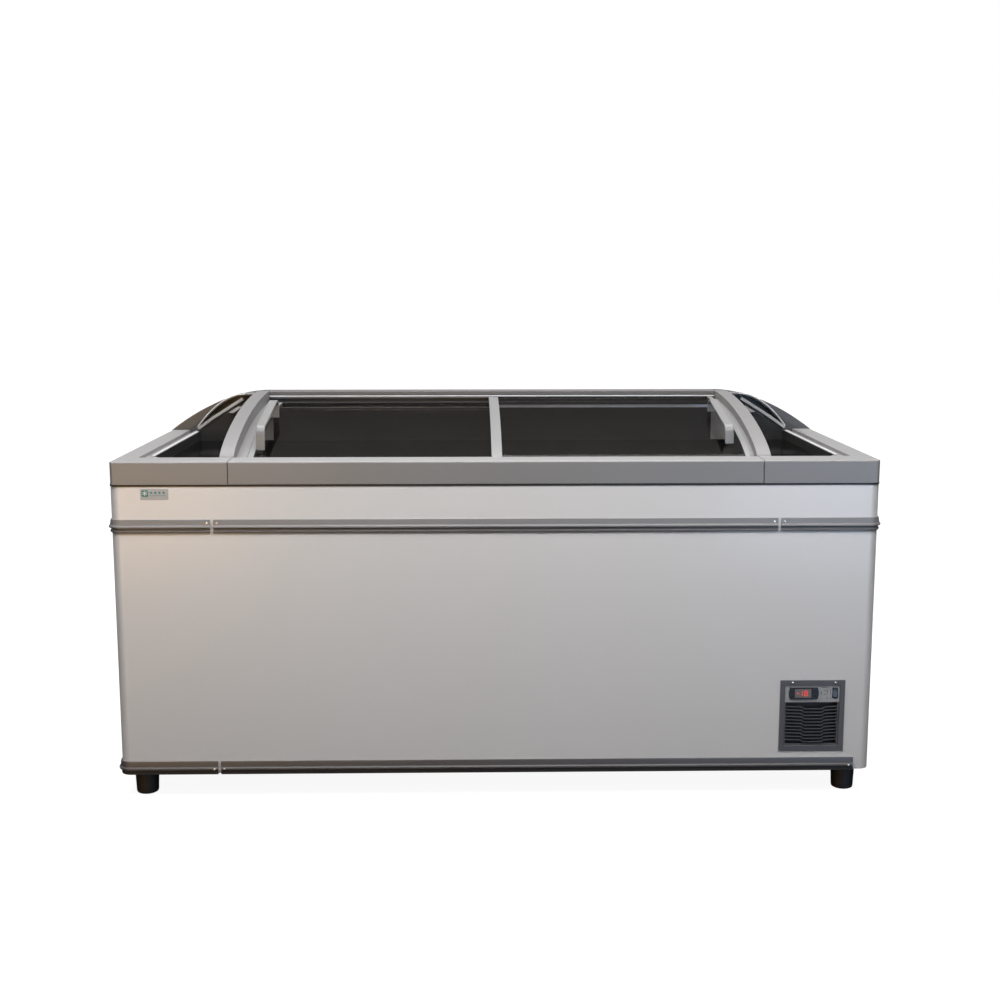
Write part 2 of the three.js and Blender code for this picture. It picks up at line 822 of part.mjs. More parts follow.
function lidHandle(lid) {
  const half = HANDLE_THICK / 2;
  const foot = (d) => [d, crown(d) - RIM - lid.drop - GLASS_DROP + GAP];
  const [upper, lower] = bandSides(HANDLE_LINE, HANDLE_THICK);
  const outline = [
    foot(HANDLE_FRONT - half),
    ...upper,
    foot(HANDLE_REAR + half),
    foot(HANDLE_REAR - half),
    ...lower.reverse(),
    foot(HANDLE_FRONT + half),
  ];
  return prismX(outline.map(([d, h]) => [FRONT + d, RIM + h]), lid.handle);
}

// ---- grille and controls ------------------------------------------------

const PANEL_FRONT = FRONT + 0.8;
const WINDOW_X = [GRILLE_LEFT + GRILLE_BAR, GRILLE_RIGHT - GRILLE_BAR];
const WINDOW_Z = [GRILLE_BOTTOM + GRILLE_BAR, GRILLE_TOP - GRILLE_BAR];
const PLATE_HEIGHT = 44;
const PLATE_Z = [WINDOW_Z[1] - PLATE_HEIGHT - GAP, WINDOW_Z[1] - GAP];
const PLATE_FRONT = PANEL_FRONT + 3;

function grilleFrame() {
  const flange = box(
    [GRILLE_LEFT, GRILLE_RIGHT],
    [PANEL_FRONT, BODY_FRONT - GAP],
    [GRILLE_BOTTOM, GRILLE_TOP],
  );
  const neck = box(
    [GRILLE_LEFT + 5, GRILLE_RIGHT - 5],
    [PANEL_FRONT + 1, BODY_FRONT + 22],
    [GRILLE_BOTTOM + 5, GRILLE_TOP - 5],
  );
  const window = box(WINDOW_X, [FRONT - 5, FRONT + 60], WINDOW_Z);
  return cut(join(flange, neck), window);
}

const DISPLAY_X = [WINDOW_X[0] + 10, WINDOW_X[0] + 84];
const DISPLAY_Z = [PLATE_Z[0] + 8, PLATE_Z[0] + 38];
const LENS_X = [DISPLAY_X[0] + 14, DISPLAY_X[0] + 56];
const LENS_Z = [DISPLAY_Z[0] + 4, DISPLAY_Z[1] - 4];
const SWITCH_X = [WINDOW_X[1] - 17, WINDOW_X[1] - 6];
const SWITCH_Z = [PLATE_Z[0] + 10, PLATE_Z[0] + 34];

function controlPlate() {
  const plate = box(
    [WINDOW_X[0] + GAP, WINDOW_X[1] - GAP],
    [PLATE_FRONT, PLATE_FRONT + 2],
    PLATE_Z,
  );
  const displayHole = box(
    [DISPLAY_X[0] + 3, DISPLAY_X[1] - 3],
    [FRONT, FRONT + 20],
    [DISPLAY_Z[0] + 2, DISPLAY_Z[1] - 2],
  );
  const switchHole = box(SWITCH_X, [FRONT, FRONT + 20], SWITCH_Z);
  return cut(plate, displayHole, switchHole);
}

const KEY_X = [DISPLAY_X[0] + 7, DISPLAY_X[1] - 9];
const KEY_Z = [DISPLAY_Z[0] + 8.5, DISPLAY_Z[1] - 8.5];
const KEY_SIZE = [7, 8];
const KEY_TRAVEL = 0.8;
const BEZEL_FRONT = PLATE_FRONT - 2.6;

// Front of the controller, with bowed ends, a window and four key holes.
function displayBezel() {
  const [x0, x1] = DISPLAY_X;
  const [z0, z1] = DISPLAY_Z;
  const middle = (z0 + z1) / 2;
  const half = (z1 - z0) / 2;
  const bow = 3;
  const ends = (x, way) => steps(-1, 1, 6).map((s) => [
    x + way * bow * (1 - s * s),
    middle + way * s * half,
  ]);
  const face = prismY([...ends(x1 - bow, 1), ...ends(x0 + bow, -1)],
    [BEZEL_FRONT, PLATE_FRONT - GAP]);
  const neck = box(
    [x0 + 5, x1 - 5],
    [BEZEL_FRONT + 1, PLATE_FRONT + 12],
    [z0 + 3, z1 - 3],
  );
  const window = box(LENS_X, [BEZEL_FRONT - 2, BEZEL_FRONT + 1.2], LENS_Z);
  const holes = KEY_X.flatMap((x) => KEY_Z.map((z) => box(
    [x - KEY_SIZE[0] / 2 - GAP, x + KEY_SIZE[0] / 2 + GAP],
    [BEZEL_FRONT - 2, BEZEL_FRONT + 4],
    [z - KEY_SIZE[1] / 2 - GAP, z + KEY_SIZE[1] / 2 + GAP],
  )));
  return cut(join(face, neck), window, ...holes);
}

const displayLens = () => box(
  [LENS_X[0] + GAP, LENS_X[1] - GAP],
  [BEZEL_FRONT + 0.1, BEZEL_FRONT + 0.9],
  [LENS_Z[0] + GAP, LENS_Z[1] - GAP],
);

function key(column, row) {
  const x = KEY_X[column];
  const z = KEY_Z[row];
  return box(
    [x - KEY_SIZE[0] / 2, x + KEY_SIZE[0] / 2],
    [BEZEL_FRONT - 0.3, BEZEL_FRONT + 4 - KEY_TRAVEL - GAP],
    [z - KEY_SIZE[1] / 2, z + KEY_SIZE[1] / 2],
  );
}

const ROCKER_AXIS = [PLATE_FRONT + 5, (SWITCH_Z[0] + SWITCH_Z[1]) / 2];
const ROCKER_TILT = 9;

// A rocker with two flats that meet at a shallow angle, turning about x. It rests tilted.
function rockerSwitch() {
  const half = (SWITCH_Z[1] - SWITCH_Z[0]) / 2 - 1.6;
  const outline = [
    [-6.4, -half],
    [-2, -half + 0.8],
    [2.5, -4],
    [2.5, 4],
    [-2, half - 0.8],
    [-6.4, half],
    [-5, 0],
  ];
  return prismX(outline, [SWITCH_X[0] + 0.6, SWITCH_X[1] - 0.6])
    .rotateX(THREE.MathUtils.degToRad(-ROCKER_TILT))
    .translate(0, ...ROCKER_AXIS);
}

const LOUVRES = 11;
const LOUVRE_PITCH = 8.5;
const LOUVRE_Z = [WINDOW_Z[0] + GAP, PLATE_Z[0] - GAP];

// How far a louvre sits low and forward, at a fraction across the grille.
const LOUVRE_WAVE = [[0, 0, 0], [0.31, 1.5, 1.2], [0.36, 6, 2.4], [0.7, 6, 2.4], [0.75, 1.5, 1.2],
  [1, 0, 0]];

function louvre(z) {
  const x0 = WINDOW_X[0] + GAP + 2;
  const width = WINDOW_X[1] - WINDOW_X[0] - 2 * GAP - 4;
  const y = FRONT + 5.4;
  return loft(LOUVRE_WAVE.map(([fraction, drop, out]) => {
    const x = x0 + width * fraction;
    return [
      [x, y - out, z - drop],
      [x, y - out, z + 2.6 - drop],
      [x, y + 8, z - 1.6 - drop],
      [x, y + 8, z - 3.8 - drop],
    ];
  }));
}

// Slats between two side bars, closed by a top rail and a bottom lip.
function louvreGrille() {
  const [z0, z1] = LOUVRE_Z;
  const x0 = WINDOW_X[0] + GAP;
  const x1 = WINDOW_X[1] - GAP;
  const depth = [FRONT + 6, FRONT + 18];
  const sides = [
    box([x0, x0 + 4], depth, [z0, z1]),
    box([x1 - 4, x1], depth, [z0, z1]),
    box([x0, x1], [FRONT + 8, FRONT + 18], [z1 - 3, z1]),
    box([x0, x1], [FRONT + 8, FRONT + 18], [z0, z0 + 3]),
  ];
  const first = z1 - 12;
  const slats = Array.from({ length: LOUVRES }, (_, i) => louvre(first - i * LOUVRE_PITCH));
  return join(...sides, ...slats);
}

// ---- refrigeration unit -------------------------------------------------

const UNIT_X = 785;
const BAY_FLOOR = FOAM_FLOOR;
const FAN_Z = 205;
const FAN_RADIUS = 72;
const FAN_Y = FRONT + 122;

// A block of plates on pipes, made as a comb so that air passes between the plates.
function condenser() {
  const y0 = FRONT + 40;
  const fins = steps(UNIT_X - 75, UNIT_X + 72, 21).map((x) => box(
    [x, x + 1.4],
    [y0, y0 + 42],
    [FAN_Z - 82, FAN_Z + 82],
  ));
  const pipes = steps(FAN_Z - 60, FAN_Z + 60, 3).map((z) => box(
    [UNIT_X - 80, UNIT_X + 80],
    [y0 + 17, y0 + 24],
    [z - 3.5, z + 3.5],
  ));
  return join(...fins, ...pipes);
}

// The plate behind the condenser that carries the fan, with its round air hole.
function fanShroud() {
  const plate = box(
    [UNIT_X - 84, UNIT_X + 84],
    [FRONT + 84, FRONT + 87],
    [BAY_FLOOR + 1, FAN_Z + 90],
  );
  const hole = new THREE.CylinderGeometry(FAN_RADIUS + 6, FAN_RADIUS + 6, 30, 36)
    .translate(UNIT_X, FRONT + 85, FAN_Z);
  const foot = box(
    [UNIT_X - 84, UNIT_X + 84],
    [FRONT + 84, FRONT + 200],
    [BAY_FLOOR + 1, BAY_FLOOR + 3],
  );
  const mast = box(
    [UNIT_X - 16, UNIT_X + 16],
    [FRONT + 192, FRONT + 195],
    [BAY_FLOOR + 1, FAN_Z + 20],
  );
  return cut(join(plate, foot, mast), hole);
}

function fanMotor() {
  const can = new THREE.CylinderGeometry(30, 30, 50, 28).translate(UNIT_X, FRONT + 166.5, FAN_Z);
  const shaft = new THREE.CylinderGeometry(3, 3, 60, 16).translate(UNIT_X, FRONT + 130, FAN_Z);
  return join(can, shaft);
}

// Hub and five pitched blades about the y axis.
function fanBlade() {
  const hub = new THREE.CylinderGeometry(16, 16, 16, 24);
  const bore = new THREE.CylinderGeometry(3.4, 3.4, 40, 16);
  const blades = Array.from({ length: 5 }, (_, i) => {
    const blade = loft([12, 32, 52, FAN_RADIUS].map((radius, k) => {
      const chord = [10, 19, 24, 22][k];
      const pitch = [0.75, 0.6, 0.48, 0.4][k];
      const c = Math.cos(pitch) * chord;
      const s = Math.sin(pitch) * chord * 0.6;
      return [[radius, s, -c], [radius, s + 1.6, -c], [radius, -s + 1.6, c], [radius, -s, c]];
    }));
    return blade.rotateY((i * 2 * Math.PI) / 5);
  });
  const whole = cut(join(hub, ...blades), bore);
  return whole.translate(UNIT_X, FAN_Y, FAN_Z);
}

const COMPRESSOR = [UNIT_X - 20, FRONT + 360];

// A welded can on a foot plate with four moulded mounts, and its terminal cover.
function compressor() {
  const [x, y] = COMPRESSOR;
  const profile = [[0, 12], [60, 12], [84, 26], [92, 44], [92, 92], [95, 94], [95, 99], [92, 101],
    [92, 132], [82, 160], [54, 178], [0, 184]];
  const can = lathe(profile, 32).scale(1, 0.86, 1).translate(x, y, BAY_FLOOR);
  const plate = box([x - 100, x + 100], [y - 62, y + 62], [BAY_FLOOR + 9, BAY_FLOOR + 14]);
  const cover = box([x - 118, x - 80], [y - 30, y + 30], [BAY_FLOOR + 60, BAY_FLOOR + 125]);
  const mounts = [-1, 1].flatMap((i) => [-1, 1].map((j) => (
    new THREE.CylinderGeometry(9, 12, 10, 16)
      .rotateX(Math.PI / 2)
      .translate(x + i * 86, y + j * 50, BAY_FLOOR + 5))));
  return join(can, plate, cover, ...mounts);
}

// Recessed socket for the mains lead, low on the rear panel.
function powerInlet() {
  const x = [560, 588];
  const z = [178, 202];
  const flange = box([x[0] - 4, x[1] + 4], [BODY_REAR + GAP, BODY_REAR + 3], [z[0] - 4, z[1] + 4]);
  const socket = box([x[0] + 3, x[1] - 3], [BODY_REAR + 1, BODY_REAR + 8], [z[0] + 3, z[1] - 3]);
  return cut(flange, socket);
}

// ---- feet ---------------------------------------------------------------

function foot(x, y) {
  const profile = [[0, 0], [FOOT_BOTTOM_RADIUS - 3, 0], [FOOT_BOTTOM_RADIUS, 5],
    [FOOT_TOP_RADIUS, FOOT_HEIGHT - 1], [FOOT_TOP_RADIUS, FOOT_HEIGHT - GAP],
    [0, FOOT_HEIGHT - GAP]];
  return lathe(profile, 28).translate(x, y, 0);
}

// ---- assembly -----------------------------------------------------------

const freezer = new THREE.Group();

function add(name, finish, geometry) {
  const [color, roughness, metalness] = FINISH[finish];
  const material = new THREE.MeshStandardMaterial({ color, roughness, metalness });
  if (finish === 'glass') Object.assign(material, { transparent: true, opacity: 0.35 });
  const mesh = new THREE.Mesh(geometry, material);
  mesh.name = name;
  freezer.add(mesh);
}

const SIDES = { left: -1, right: 1 };

function addCabinet() {
  add('front_panel', 'whiteSteel', frontPanel());
  add('rear_panel', 'whiteSteel', rearPanel());
  add('base_pan', 'steel', basePan());
  add('foam_front', 'foam', foamFront());
  add('foam_rear', 'foam', foamRear());
  add('foam_floor', 'foam', foamFloor());
  add('foam_step', 'foam', foamStep());
  Object.entries(SIDES).forEach(([name, side]) => {
    add(`${name}_panel`, 'whiteSteel', sidePanel(side));
    add(`foam_${name}`, 'foam', foamEnd(side));
  });
  add('inner_tub', 'liner', innerTub());
  add('drain_plug', 'blackPlastic', drainPlug());
  add('evaporator_coil', 'copper', evaporatorCoil());
}

function addTopFrame() {
  add('front_rail', 'greyPlastic', frontRail());
  add('front_track', 'aluminium', frontTrack());
  add('rear_hood', 'greyPlastic', rearHood());
  add('ridge_rail', 'greyPlastic', ridgeRail());
  add('rear_riser', 'liner', rearRiser());
  add('rear_track', 'aluminium', rearTrack());
  Object.entries(SIDES).forEach(([name, side]) => {
    add(`${name}_end_frame`, 'greyPlastic', endFrame(side));
    add(`${name}_rib`, 'lightPlastic', rib(side));
    add(`${name}_shoulder_shelf`, 'lightPlastic', shoulderShelf(side));
    add(`${name}_end_window`, 'glass', endWindow(side));
  });
}

function addRails() {
  add('bumper_front', 'greyPlastic', bumperLength(-1));
  add('bumper_rear', 'greyPlastic', bumperLength(1));
  Object.entries(SIDES).forEach(([name, side]) => {
    add(`bumper_${name}`, 'greyPlastic', bumperEnd(side));
  });
  add('base_rail_front', 'darkPlastic', baseRailFront());
  add('base_rail_left', 'darkPlastic', baseRailLeft());
}

function addLids() {
  Object.entries(LIDS).forEach(([name, lid]) => {
    add(`${name}_lid_glass`, 'glass', lidGlass(lid));
    add(`${name}_lid_frame`, 'lightPlastic', lidFrame(lid));
    add(`${name}_lid_handle`, 'lightPlastic', lidHandle(lid));
  });
}

function addControls() {
  add('grille_frame', 'darkPlastic', grilleFrame());
  add('louvre_grille', 'darkPlastic', louvreGrille());
  add('control_plate', 'lightPlastic', controlPlate());
  add('display_bezel', 'blackPlastic', displayBezel());
  add('display_lens', 'display', displayLens());
  add('rocker_switch', 'blackPlastic', rockerSwitch());
  [0, 1].forEach((column) => [0, 1].forEach((row) => {
    add(`key_${2 * column + row + 1}`, 'blackPlastic', key(column, row));
  }));
}

function addUnit() {
  add('compressor', 'blackPlastic', compressor());
  add('condenser', 'aluminium', condenser());
  add('fan_shroud', 'steel', fanShroud());
  add('fan_motor', 'blackPlastic', fanMotor());
  add('fan_blade', 'aluminium', fanBlade());
  add('power_inlet', 'blackPlastic', powerInlet());
}

function addFeet() {
  Object.entries(SIDES).forEach(([name, side]) => {
    add(`foot_front_${name}`, 'rubber', foot(side * FOOT_X, -FOOT_Y));
    add(`foot_rear_${name}`, 'rubber', foot(side * FOOT_X, FOOT_Y));
  });
}

addCabinet();
addTopFrame();
addRails();
addLids();
addControls();
addUnit();
addFeet();

export default freezer;
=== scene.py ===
"""Looks of the island display chest freezer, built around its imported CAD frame.

Metres, +Z up, the customer's side faces -Y. Sizes that repeat the CAD come from its nodes' boxes.
"""

import json
import math

import bmesh
import bpy
from mathutils import Matrix, Vector


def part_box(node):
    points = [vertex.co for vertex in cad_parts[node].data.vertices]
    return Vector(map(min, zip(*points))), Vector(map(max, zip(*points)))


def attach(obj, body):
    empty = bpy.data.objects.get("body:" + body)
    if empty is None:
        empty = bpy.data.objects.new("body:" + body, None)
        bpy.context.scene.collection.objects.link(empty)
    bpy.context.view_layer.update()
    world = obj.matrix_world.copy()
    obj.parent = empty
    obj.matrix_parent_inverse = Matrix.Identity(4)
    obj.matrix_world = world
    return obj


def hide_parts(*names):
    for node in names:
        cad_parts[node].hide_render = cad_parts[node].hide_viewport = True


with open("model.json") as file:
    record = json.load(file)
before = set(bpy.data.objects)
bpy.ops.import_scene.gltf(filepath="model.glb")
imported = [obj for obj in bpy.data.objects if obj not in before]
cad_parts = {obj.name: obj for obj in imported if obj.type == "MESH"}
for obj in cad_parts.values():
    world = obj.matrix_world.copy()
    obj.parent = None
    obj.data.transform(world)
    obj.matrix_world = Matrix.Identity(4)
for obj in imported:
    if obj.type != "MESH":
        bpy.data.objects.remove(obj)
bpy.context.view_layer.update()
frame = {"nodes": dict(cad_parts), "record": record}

scene = bpy.context.scene
MM = 0.001

# ---- places read from the frame ----------------------------------------------

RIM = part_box("front_rail")[1].z
FASCIA_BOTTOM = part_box("front_rail")[0].z
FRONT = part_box("front_rail")[0].y
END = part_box("right_panel")[1].x
BODY_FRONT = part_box("front_panel")[0].y
BODY_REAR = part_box("rear_panel")[1].y
BODY_CORNER = 25 * MM
BUMPER_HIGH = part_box("bumper_front")[1]
BASE_LOW, BASE_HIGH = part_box("base_rail_front")
GRILLE_LOW, GRILLE_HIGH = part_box("grille_frame")
PLATE_LOW, PLATE_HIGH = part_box("control_plate")
LENS_LOW, LENS_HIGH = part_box("display_lens")
SWITCH_LOW, SWITCH_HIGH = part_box("rocker_switch")
TUB_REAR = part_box("rear_riser")[0].y
RIDGE_LOW, RIDGE_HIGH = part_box("ridge_rail")
SHELF_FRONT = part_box("right_shoulder_shelf")[0].y
SIDES = (("left", -1), ("right", 1))


# ---- node graphs -------------------------------------------------------------


class Graph:
    """Adds shader nodes to one tree; an input is a value or another node's socket."""

    def __init__(self, tree):
        self.tree = tree
        tree.nodes.clear()

    def add(self, kind, inputs=None, **settings):
        node = self.tree.nodes.new("ShaderNode" + kind)
        for key, value in settings.items():
            setattr(node, key, value)
        for key, value in (inputs or {}).items():
            if isinstance(value, bpy.types.NodeSocket):
                self.tree.links.new(value, node.inputs[key])
            else:
                node.inputs[key].default_value = value
        return node

    def spread(self, socket, low, high):
        """A noise value stretched from its usual middle band to low..high."""
        inputs = {"Value": socket, "From Min": 0.3, "From Max": 0.7, "To Min": low, "To Max": high}
        return self.add("MapRange", inputs).outputs["Result"]

    def noise(self, vector, scale, detail=3.0, roughness=0.55):
        inputs = {"Vector": vector, "Scale": scale, "Detail": detail, "Roughness": roughness}
        return self.add("TexNoise", inputs).outputs["Fac"]


def new_material(name):
    material = bpy.data.materials.new(name)
    material.use_nodes = True
    return material, Graph(material.node_tree)


def finish_material(
    name,
    color,
    roughness,
    metallic=0.0,
    clouds=5.0,
    cloud_spread=0.03,
    grain=900.0,
    grain_height=0.02 * MM,
    grain_spread=0.02,
    gloss_spread=0.02,
    stretch=(1, 1, 1),
    cells=False,
    emission=0.0,
    coat=0.0,
    specular=0.5,
):
    """A moulded, painted or drawn finish: slow colour clouds, a fine grain in colour and relief,
    and uneven gloss. The grain runs along the axes that stretch makes small."""
    material, graph = new_material(name)
    place = graph.add("TexCoord").outputs["Object"]
    along = graph.add("Mapping", {"Vector": place, "Scale": stretch}).outputs["Vector"]
    cloud = graph.noise(place, clouds, 4.0)
    if cells:
        fine = graph.add("TexVoronoi", {"Vector": along, "Scale": grain}).outputs["Distance"]
    else:
        fine = graph.noise(along, grain, 2.0)
    value = graph.add("Math", {
        0: graph.spread(cloud, 1 - cloud_spread, 1 + cloud_spread),
        1: graph.spread(fine, 1 - grain_spread, 1 + grain_spread),
    }, operation="MULTIPLY").outputs[0]
    tone = graph.add("HueSaturation", {"Value": value, "Color": (*color, 1)}).outputs["Color"]
    gloss = graph.spread(graph.noise(along, clouds * 9, 3.0), roughness - gloss_spread,
                         roughness + gloss_spread)
    relief = graph.add("Bump", {"Height": fine, "Distance": grain_height, "Strength": 1.0})
    inputs = {
        "Base Color": tone,
        "Roughness": gloss,
        "Metallic": metallic,
        "Normal": relief.outputs["Normal"],
        "Coat Weight": coat,
        "Coat Roughness": 0.12,
        "Specular IOR Level": specular,
    }
    if emission:
        inputs.update({"Emission Color": tone, "Emission Strength": emission})
    shader = graph.add("BsdfPrincipled", inputs)
    graph.add("OutputMaterial", {"Surface": shader.outputs["BSDF"]})
    return material


def glass_material(name, tint, least, gain, smear):
    """Thin clear glass: a tinted view through, and a mirror that grows towards grazing."""
    material, graph = new_material(name)
    place = graph.add("TexCoord").outputs["Object"]
    film = graph.noise(place, 7.0, 5.0)
    wipe = graph.add("Mapping", {"Vector": place, "Scale": (3, 26, 26),
                                 "Rotation": (0, 0, math.radians(24))}).outputs["Vector"]
    streaks = graph.noise(wipe, 1.0, 4.0)
    passed = graph.add("HueSaturation", {"Value": graph.spread(film, 0.97, 1.03),
                                         "Color": (*tint, 1)}).outputs["Color"]
    through = graph.add("BsdfTransparent", {"Color": passed})
    mirror = graph.add("BsdfGlossy", {"Color": (0.97, 0.94, 0.93, 1),
                                      "Roughness": graph.spread(streaks, 0.02, smear)})
    facing = graph.add("Fresnel", {"IOR": 1.42}).outputs["Fac"]
    share = graph.add("Math", {0: facing, 1: gain, 2: graph.spread(film, least, least * 1.3)},
                      operation="MULTIPLY_ADD").outputs[0]
    both = graph.add("MixShader", {0: share, 1: through.outputs["BSDF"],
                                   2: mirror.outputs["BSDF"]})
    graph.add("OutputMaterial", {"Surface": both.outputs["Shader"]})
    return material


WHITE_STEEL = finish_material("white_powder_coat", (0.80, 0.785, 0.78), 0.42, clouds=2.0,
                              cloud_spread=0.008, grain=420, grain_height=0.012 * MM,
                              grain_spread=0.004, coat=0.15)
BASE_STEEL = finish_material("galvanised_sheet", (0.46, 0.47, 0.48), 0.42, metallic=0.85,
                             grain=90, grain_height=0.02 * MM, grain_spread=0.10, cells=True)
FOAM = finish_material("rigid_foam", (0.80, 0.68, 0.40), 0.85, grain=700,
                       grain_height=0.35 * MM, grain_spread=0.10, cells=True)
LINER = finish_material("dark_liner", (0.012, 0.0115, 0.0115), 0.62, clouds=3.0, cloud_spread=0.10,
                        grain=650, grain_height=0.01 * MM, specular=0.2)
LINER_MOULDING = finish_material("dark_moulding", (0.015, 0.0145, 0.0145), 0.62, clouds=4.0,
                                 grain=1300, grain_height=0.02 * MM, grain_spread=0.06)
FRAME_GREY = finish_material("frame_moulding", (0.25, 0.245, 0.245), 0.46, clouds=3.0,
                             cloud_spread=0.02, grain=1500, grain_height=0.018 * MM,
                             grain_spread=0.035)
LIGHT_GREY = finish_material("light_moulding", (0.185, 0.18, 0.18), 0.44, clouds=3.5,
                             cloud_spread=0.02, grain=1500, grain_height=0.016 * MM,
                             grain_spread=0.03)
LID_GREY = finish_material("lid_extrusion", (0.20, 0.20, 0.202), 0.42, clouds=3.0,
                           cloud_spread=0.02, grain=500, grain_height=0.012 * MM,
                           stretch=(2, 0.06, 2))
HANDLE_GREY = finish_material("handle_moulding", (0.20, 0.198, 0.198), 0.40, clouds=6.0,
                              cloud_spread=0.02, grain=1700, grain_height=0.014 * MM)
BUMPER_GREY = finish_material("bumper_extrusion", (0.22, 0.215, 0.22), 0.45, clouds=2.5,
                              cloud_spread=0.03, grain=420, grain_height=0.02 * MM,
                              grain_spread=0.03, stretch=(0.03, 0.03, 3))
BASE_GREY = finish_material("base_rail_extrusion", (0.095, 0.09, 0.092), 0.46, clouds=2.5,
                            cloud_spread=0.05, grain=420, grain_height=0.02 * MM,
                            grain_spread=0.04, stretch=(0.03, 0.03, 3))
GRILLE_GREY = finish_material("grille_moulding", (0.10, 0.10, 0.105), 0.5, clouds=9.0,
                              cloud_spread=0.04, grain=1900, grain_height=0.03 * MM,
                              grain_spread=0.06)
PLATE_SILVER = finish_material("plate_film", (0.44, 0.435, 0.43), 0.42, metallic=0.08,
                               specular=0.3, grain=900, grain_height=0.006 * MM,
                               grain_spread=0.07, stretch=(0.05, 1, 2))
BLACK_PLASTIC = finish_material("black_moulding", (0.010, 0.010, 0.012), 0.38, grain=1900,
                                grain_height=0.02 * MM, grain_spread=0.08)
LENS_GREY = finish_material("smoked_window", (0.25, 0.24, 0.24), 0.16, clouds=30,
                            cloud_spread=0.06, grain=500, grain_height=0.002 * MM, coat=0.6)
ALUMINIUM = finish_material("mill_aluminium", (0.66, 0.67, 0.68), 0.34, metallic=1.0, grain=700,
                            grain_height=0.006 * MM, grain_spread=0.06, stretch=(0.04, 1, 1))
COPPER = finish_material("drawn_copper", (0.72, 0.34, 0.19), 0.30, metallic=1.0, clouds=14,
                         cloud_spread=0.14, grain=600, grain_height=0.006 * MM,
                         stretch=(0.05, 1, 1))
BLACK_PAINT = finish_material("compressor_enamel", (0.012, 0.012, 0.014), 0.22, grain=380,
                              grain_height=0.03 * MM, coat=0.5)
# Black rubber for the feet; also the black plate behind the louvres, where it is painted shade.
RUBBER_AND_PAINTED_SHADE = finish_material("foot_rubber_and_painted_shade", (0.012, 0.012, 0.013), 0.62, clouds=16, cloud_spread=0.25,
                         grain=1400, grain_height=0.03 * MM, grain_spread=0.15)
ZINC = finish_material("zinc_screw", (0.60, 0.60, 0.58), 0.26, metallic=1.0, clouds=60,
                       cloud_spread=0.08, grain=1500, grain_height=0.006 * MM)
# Dark seal material: a real dark joint on the tub seam, and painted shade on the strip under the
# fascia, the strip under the ridge rail and the lids' track bars.
SEAL_AND_PAINTED_SHADE = finish_material("painted_shadow_and_seal", (0.020, 0.020, 0.021), 0.6, grain=900,
                       grain_height=0.02 * MM, stretch=(0.1, 0.1, 1), grain_spread=0.1)
# The rear hood's grey is darkened for the shade on its front faces: painted shade.
HOOD_PAINTED_SHADE = finish_material("hood_painted_shade", (0.075, 0.072, 0.07), 0.5, clouds=3.0,
                            cloud_spread=0.03, grain=1500, grain_height=0.018 * MM,
                            grain_spread=0.035)
RIDGE_GREY = finish_material("ridge_moulding", (0.125, 0.12, 0.118), 0.5, clouds=3.0,
                             cloud_spread=0.03, grain=1500, grain_height=0.016 * MM,
                             grain_spread=0.035)
# Near-white strips along the shoulders, the rail lips and under the ridge: painted highlights that
# stand for lit edges seen at a grazing angle.
TRIM_PAINTED_HIGHLIGHT = finish_material("painted_highlight_trim", (0.82, 0.82, 0.825), 0.38, clouds=6.0,
                             cloud_spread=0.02, grain=1200, grain_height=0.01 * MM)
# Grey for the shoulder bar, tab and gusset, made lighter to make up for the shade under the end
# glass: painted light.
SHOULDER_PAINTED_LIGHT = finish_material("shoulder_painted_light", (0.46, 0.455, 0.45), 0.44, clouds=5.0,
                                cloud_spread=0.02, grain=1500, grain_height=0.014 * MM)
# Pale grey for plates on the rear posts: painted light, so the posts read lit though little light
# reaches them under the lids.
POST_PAINTED_LIGHT = finish_material("post_painted_light", (0.62, 0.61, 0.61), 0.5, clouds=5.0,
                            cloud_spread=0.02, grain=1500, grain_height=0.014 * MM)
LABEL_FILM = finish_material("label_film", (0.50, 0.49, 0.485), 0.45, specular=0.25, clouds=40,
                             cloud_spread=0.02, grain=1600, grain_height=0.004 * MM)
LABEL_TEAL = finish_material("label_teal", (0.012, 0.22, 0.25), 0.35, clouds=60,
                             cloud_spread=0.06, grain=2500, grain_height=0.003 * MM)
LABEL_WHITE = finish_material("label_white", (0.78, 0.79, 0.79), 0.40, clouds=60,
                              cloud_spread=0.03, grain=2500, grain_height=0.003 * MM)
PRINT_DARK = finish_material("printed_ink", (0.035, 0.035, 0.038), 0.45, clouds=80,
                             cloud_spread=0.15, grain=2500, grain_height=0.002 * MM)
DIGIT_RED = finish_material("lit_segment", (0.95, 0.055, 0.05), 0.3, clouds=220,
                            cloud_spread=0.10, grain=2500, grain_height=0.001 * MM, emission=0.8)
LID_GLASS = glass_material("lid_glass", (0.72, 0.71, 0.70), 0.005, 0.15, 0.035)
END_GLASS = glass_material("end_glass", (0.95, 0.95, 0.95), 0.001, 0.004, 0.03)

# ---- mesh building -----------------------------------------------------------


def loft(rings, loop=False):
    """Skins a row of closed rings, each a list of points with the same count."""
    bm = bmesh.new()
    rows = [[bm.verts.new(point) for point in ring] for ring in rings]
    follows = rows[1:] + rows[:1] if loop else rows[1:]
    for near, far in zip(rows, follows):
        for j in range(len(near)):
            k = (j + 1) % len(near)
            bm.faces.new((near[j], near[k], far[k], far[j]))
    if not loop:
        bm.faces.new(rows[0])
        bm.faces.new(rows[-1])
    bmesh.ops.recalc_face_normals(bm, faces=bm.faces)
    return bm


def revolve(profile, segments=32):
    """A turned solid about +Z from [radius, height] points, flat at both ends."""
    turns = [2 * math.pi * k / segments for k in range(segments)]
    return loft([[(r * math.cos(a), r * math.sin(a), z) for a in turns] for r, z in profile])


def prism(outline, depth):
    """An outline in the plane, standing on it up to depth."""
    return loft([[(x, y, z) for x, y in outline] for z in (0.0, depth)])


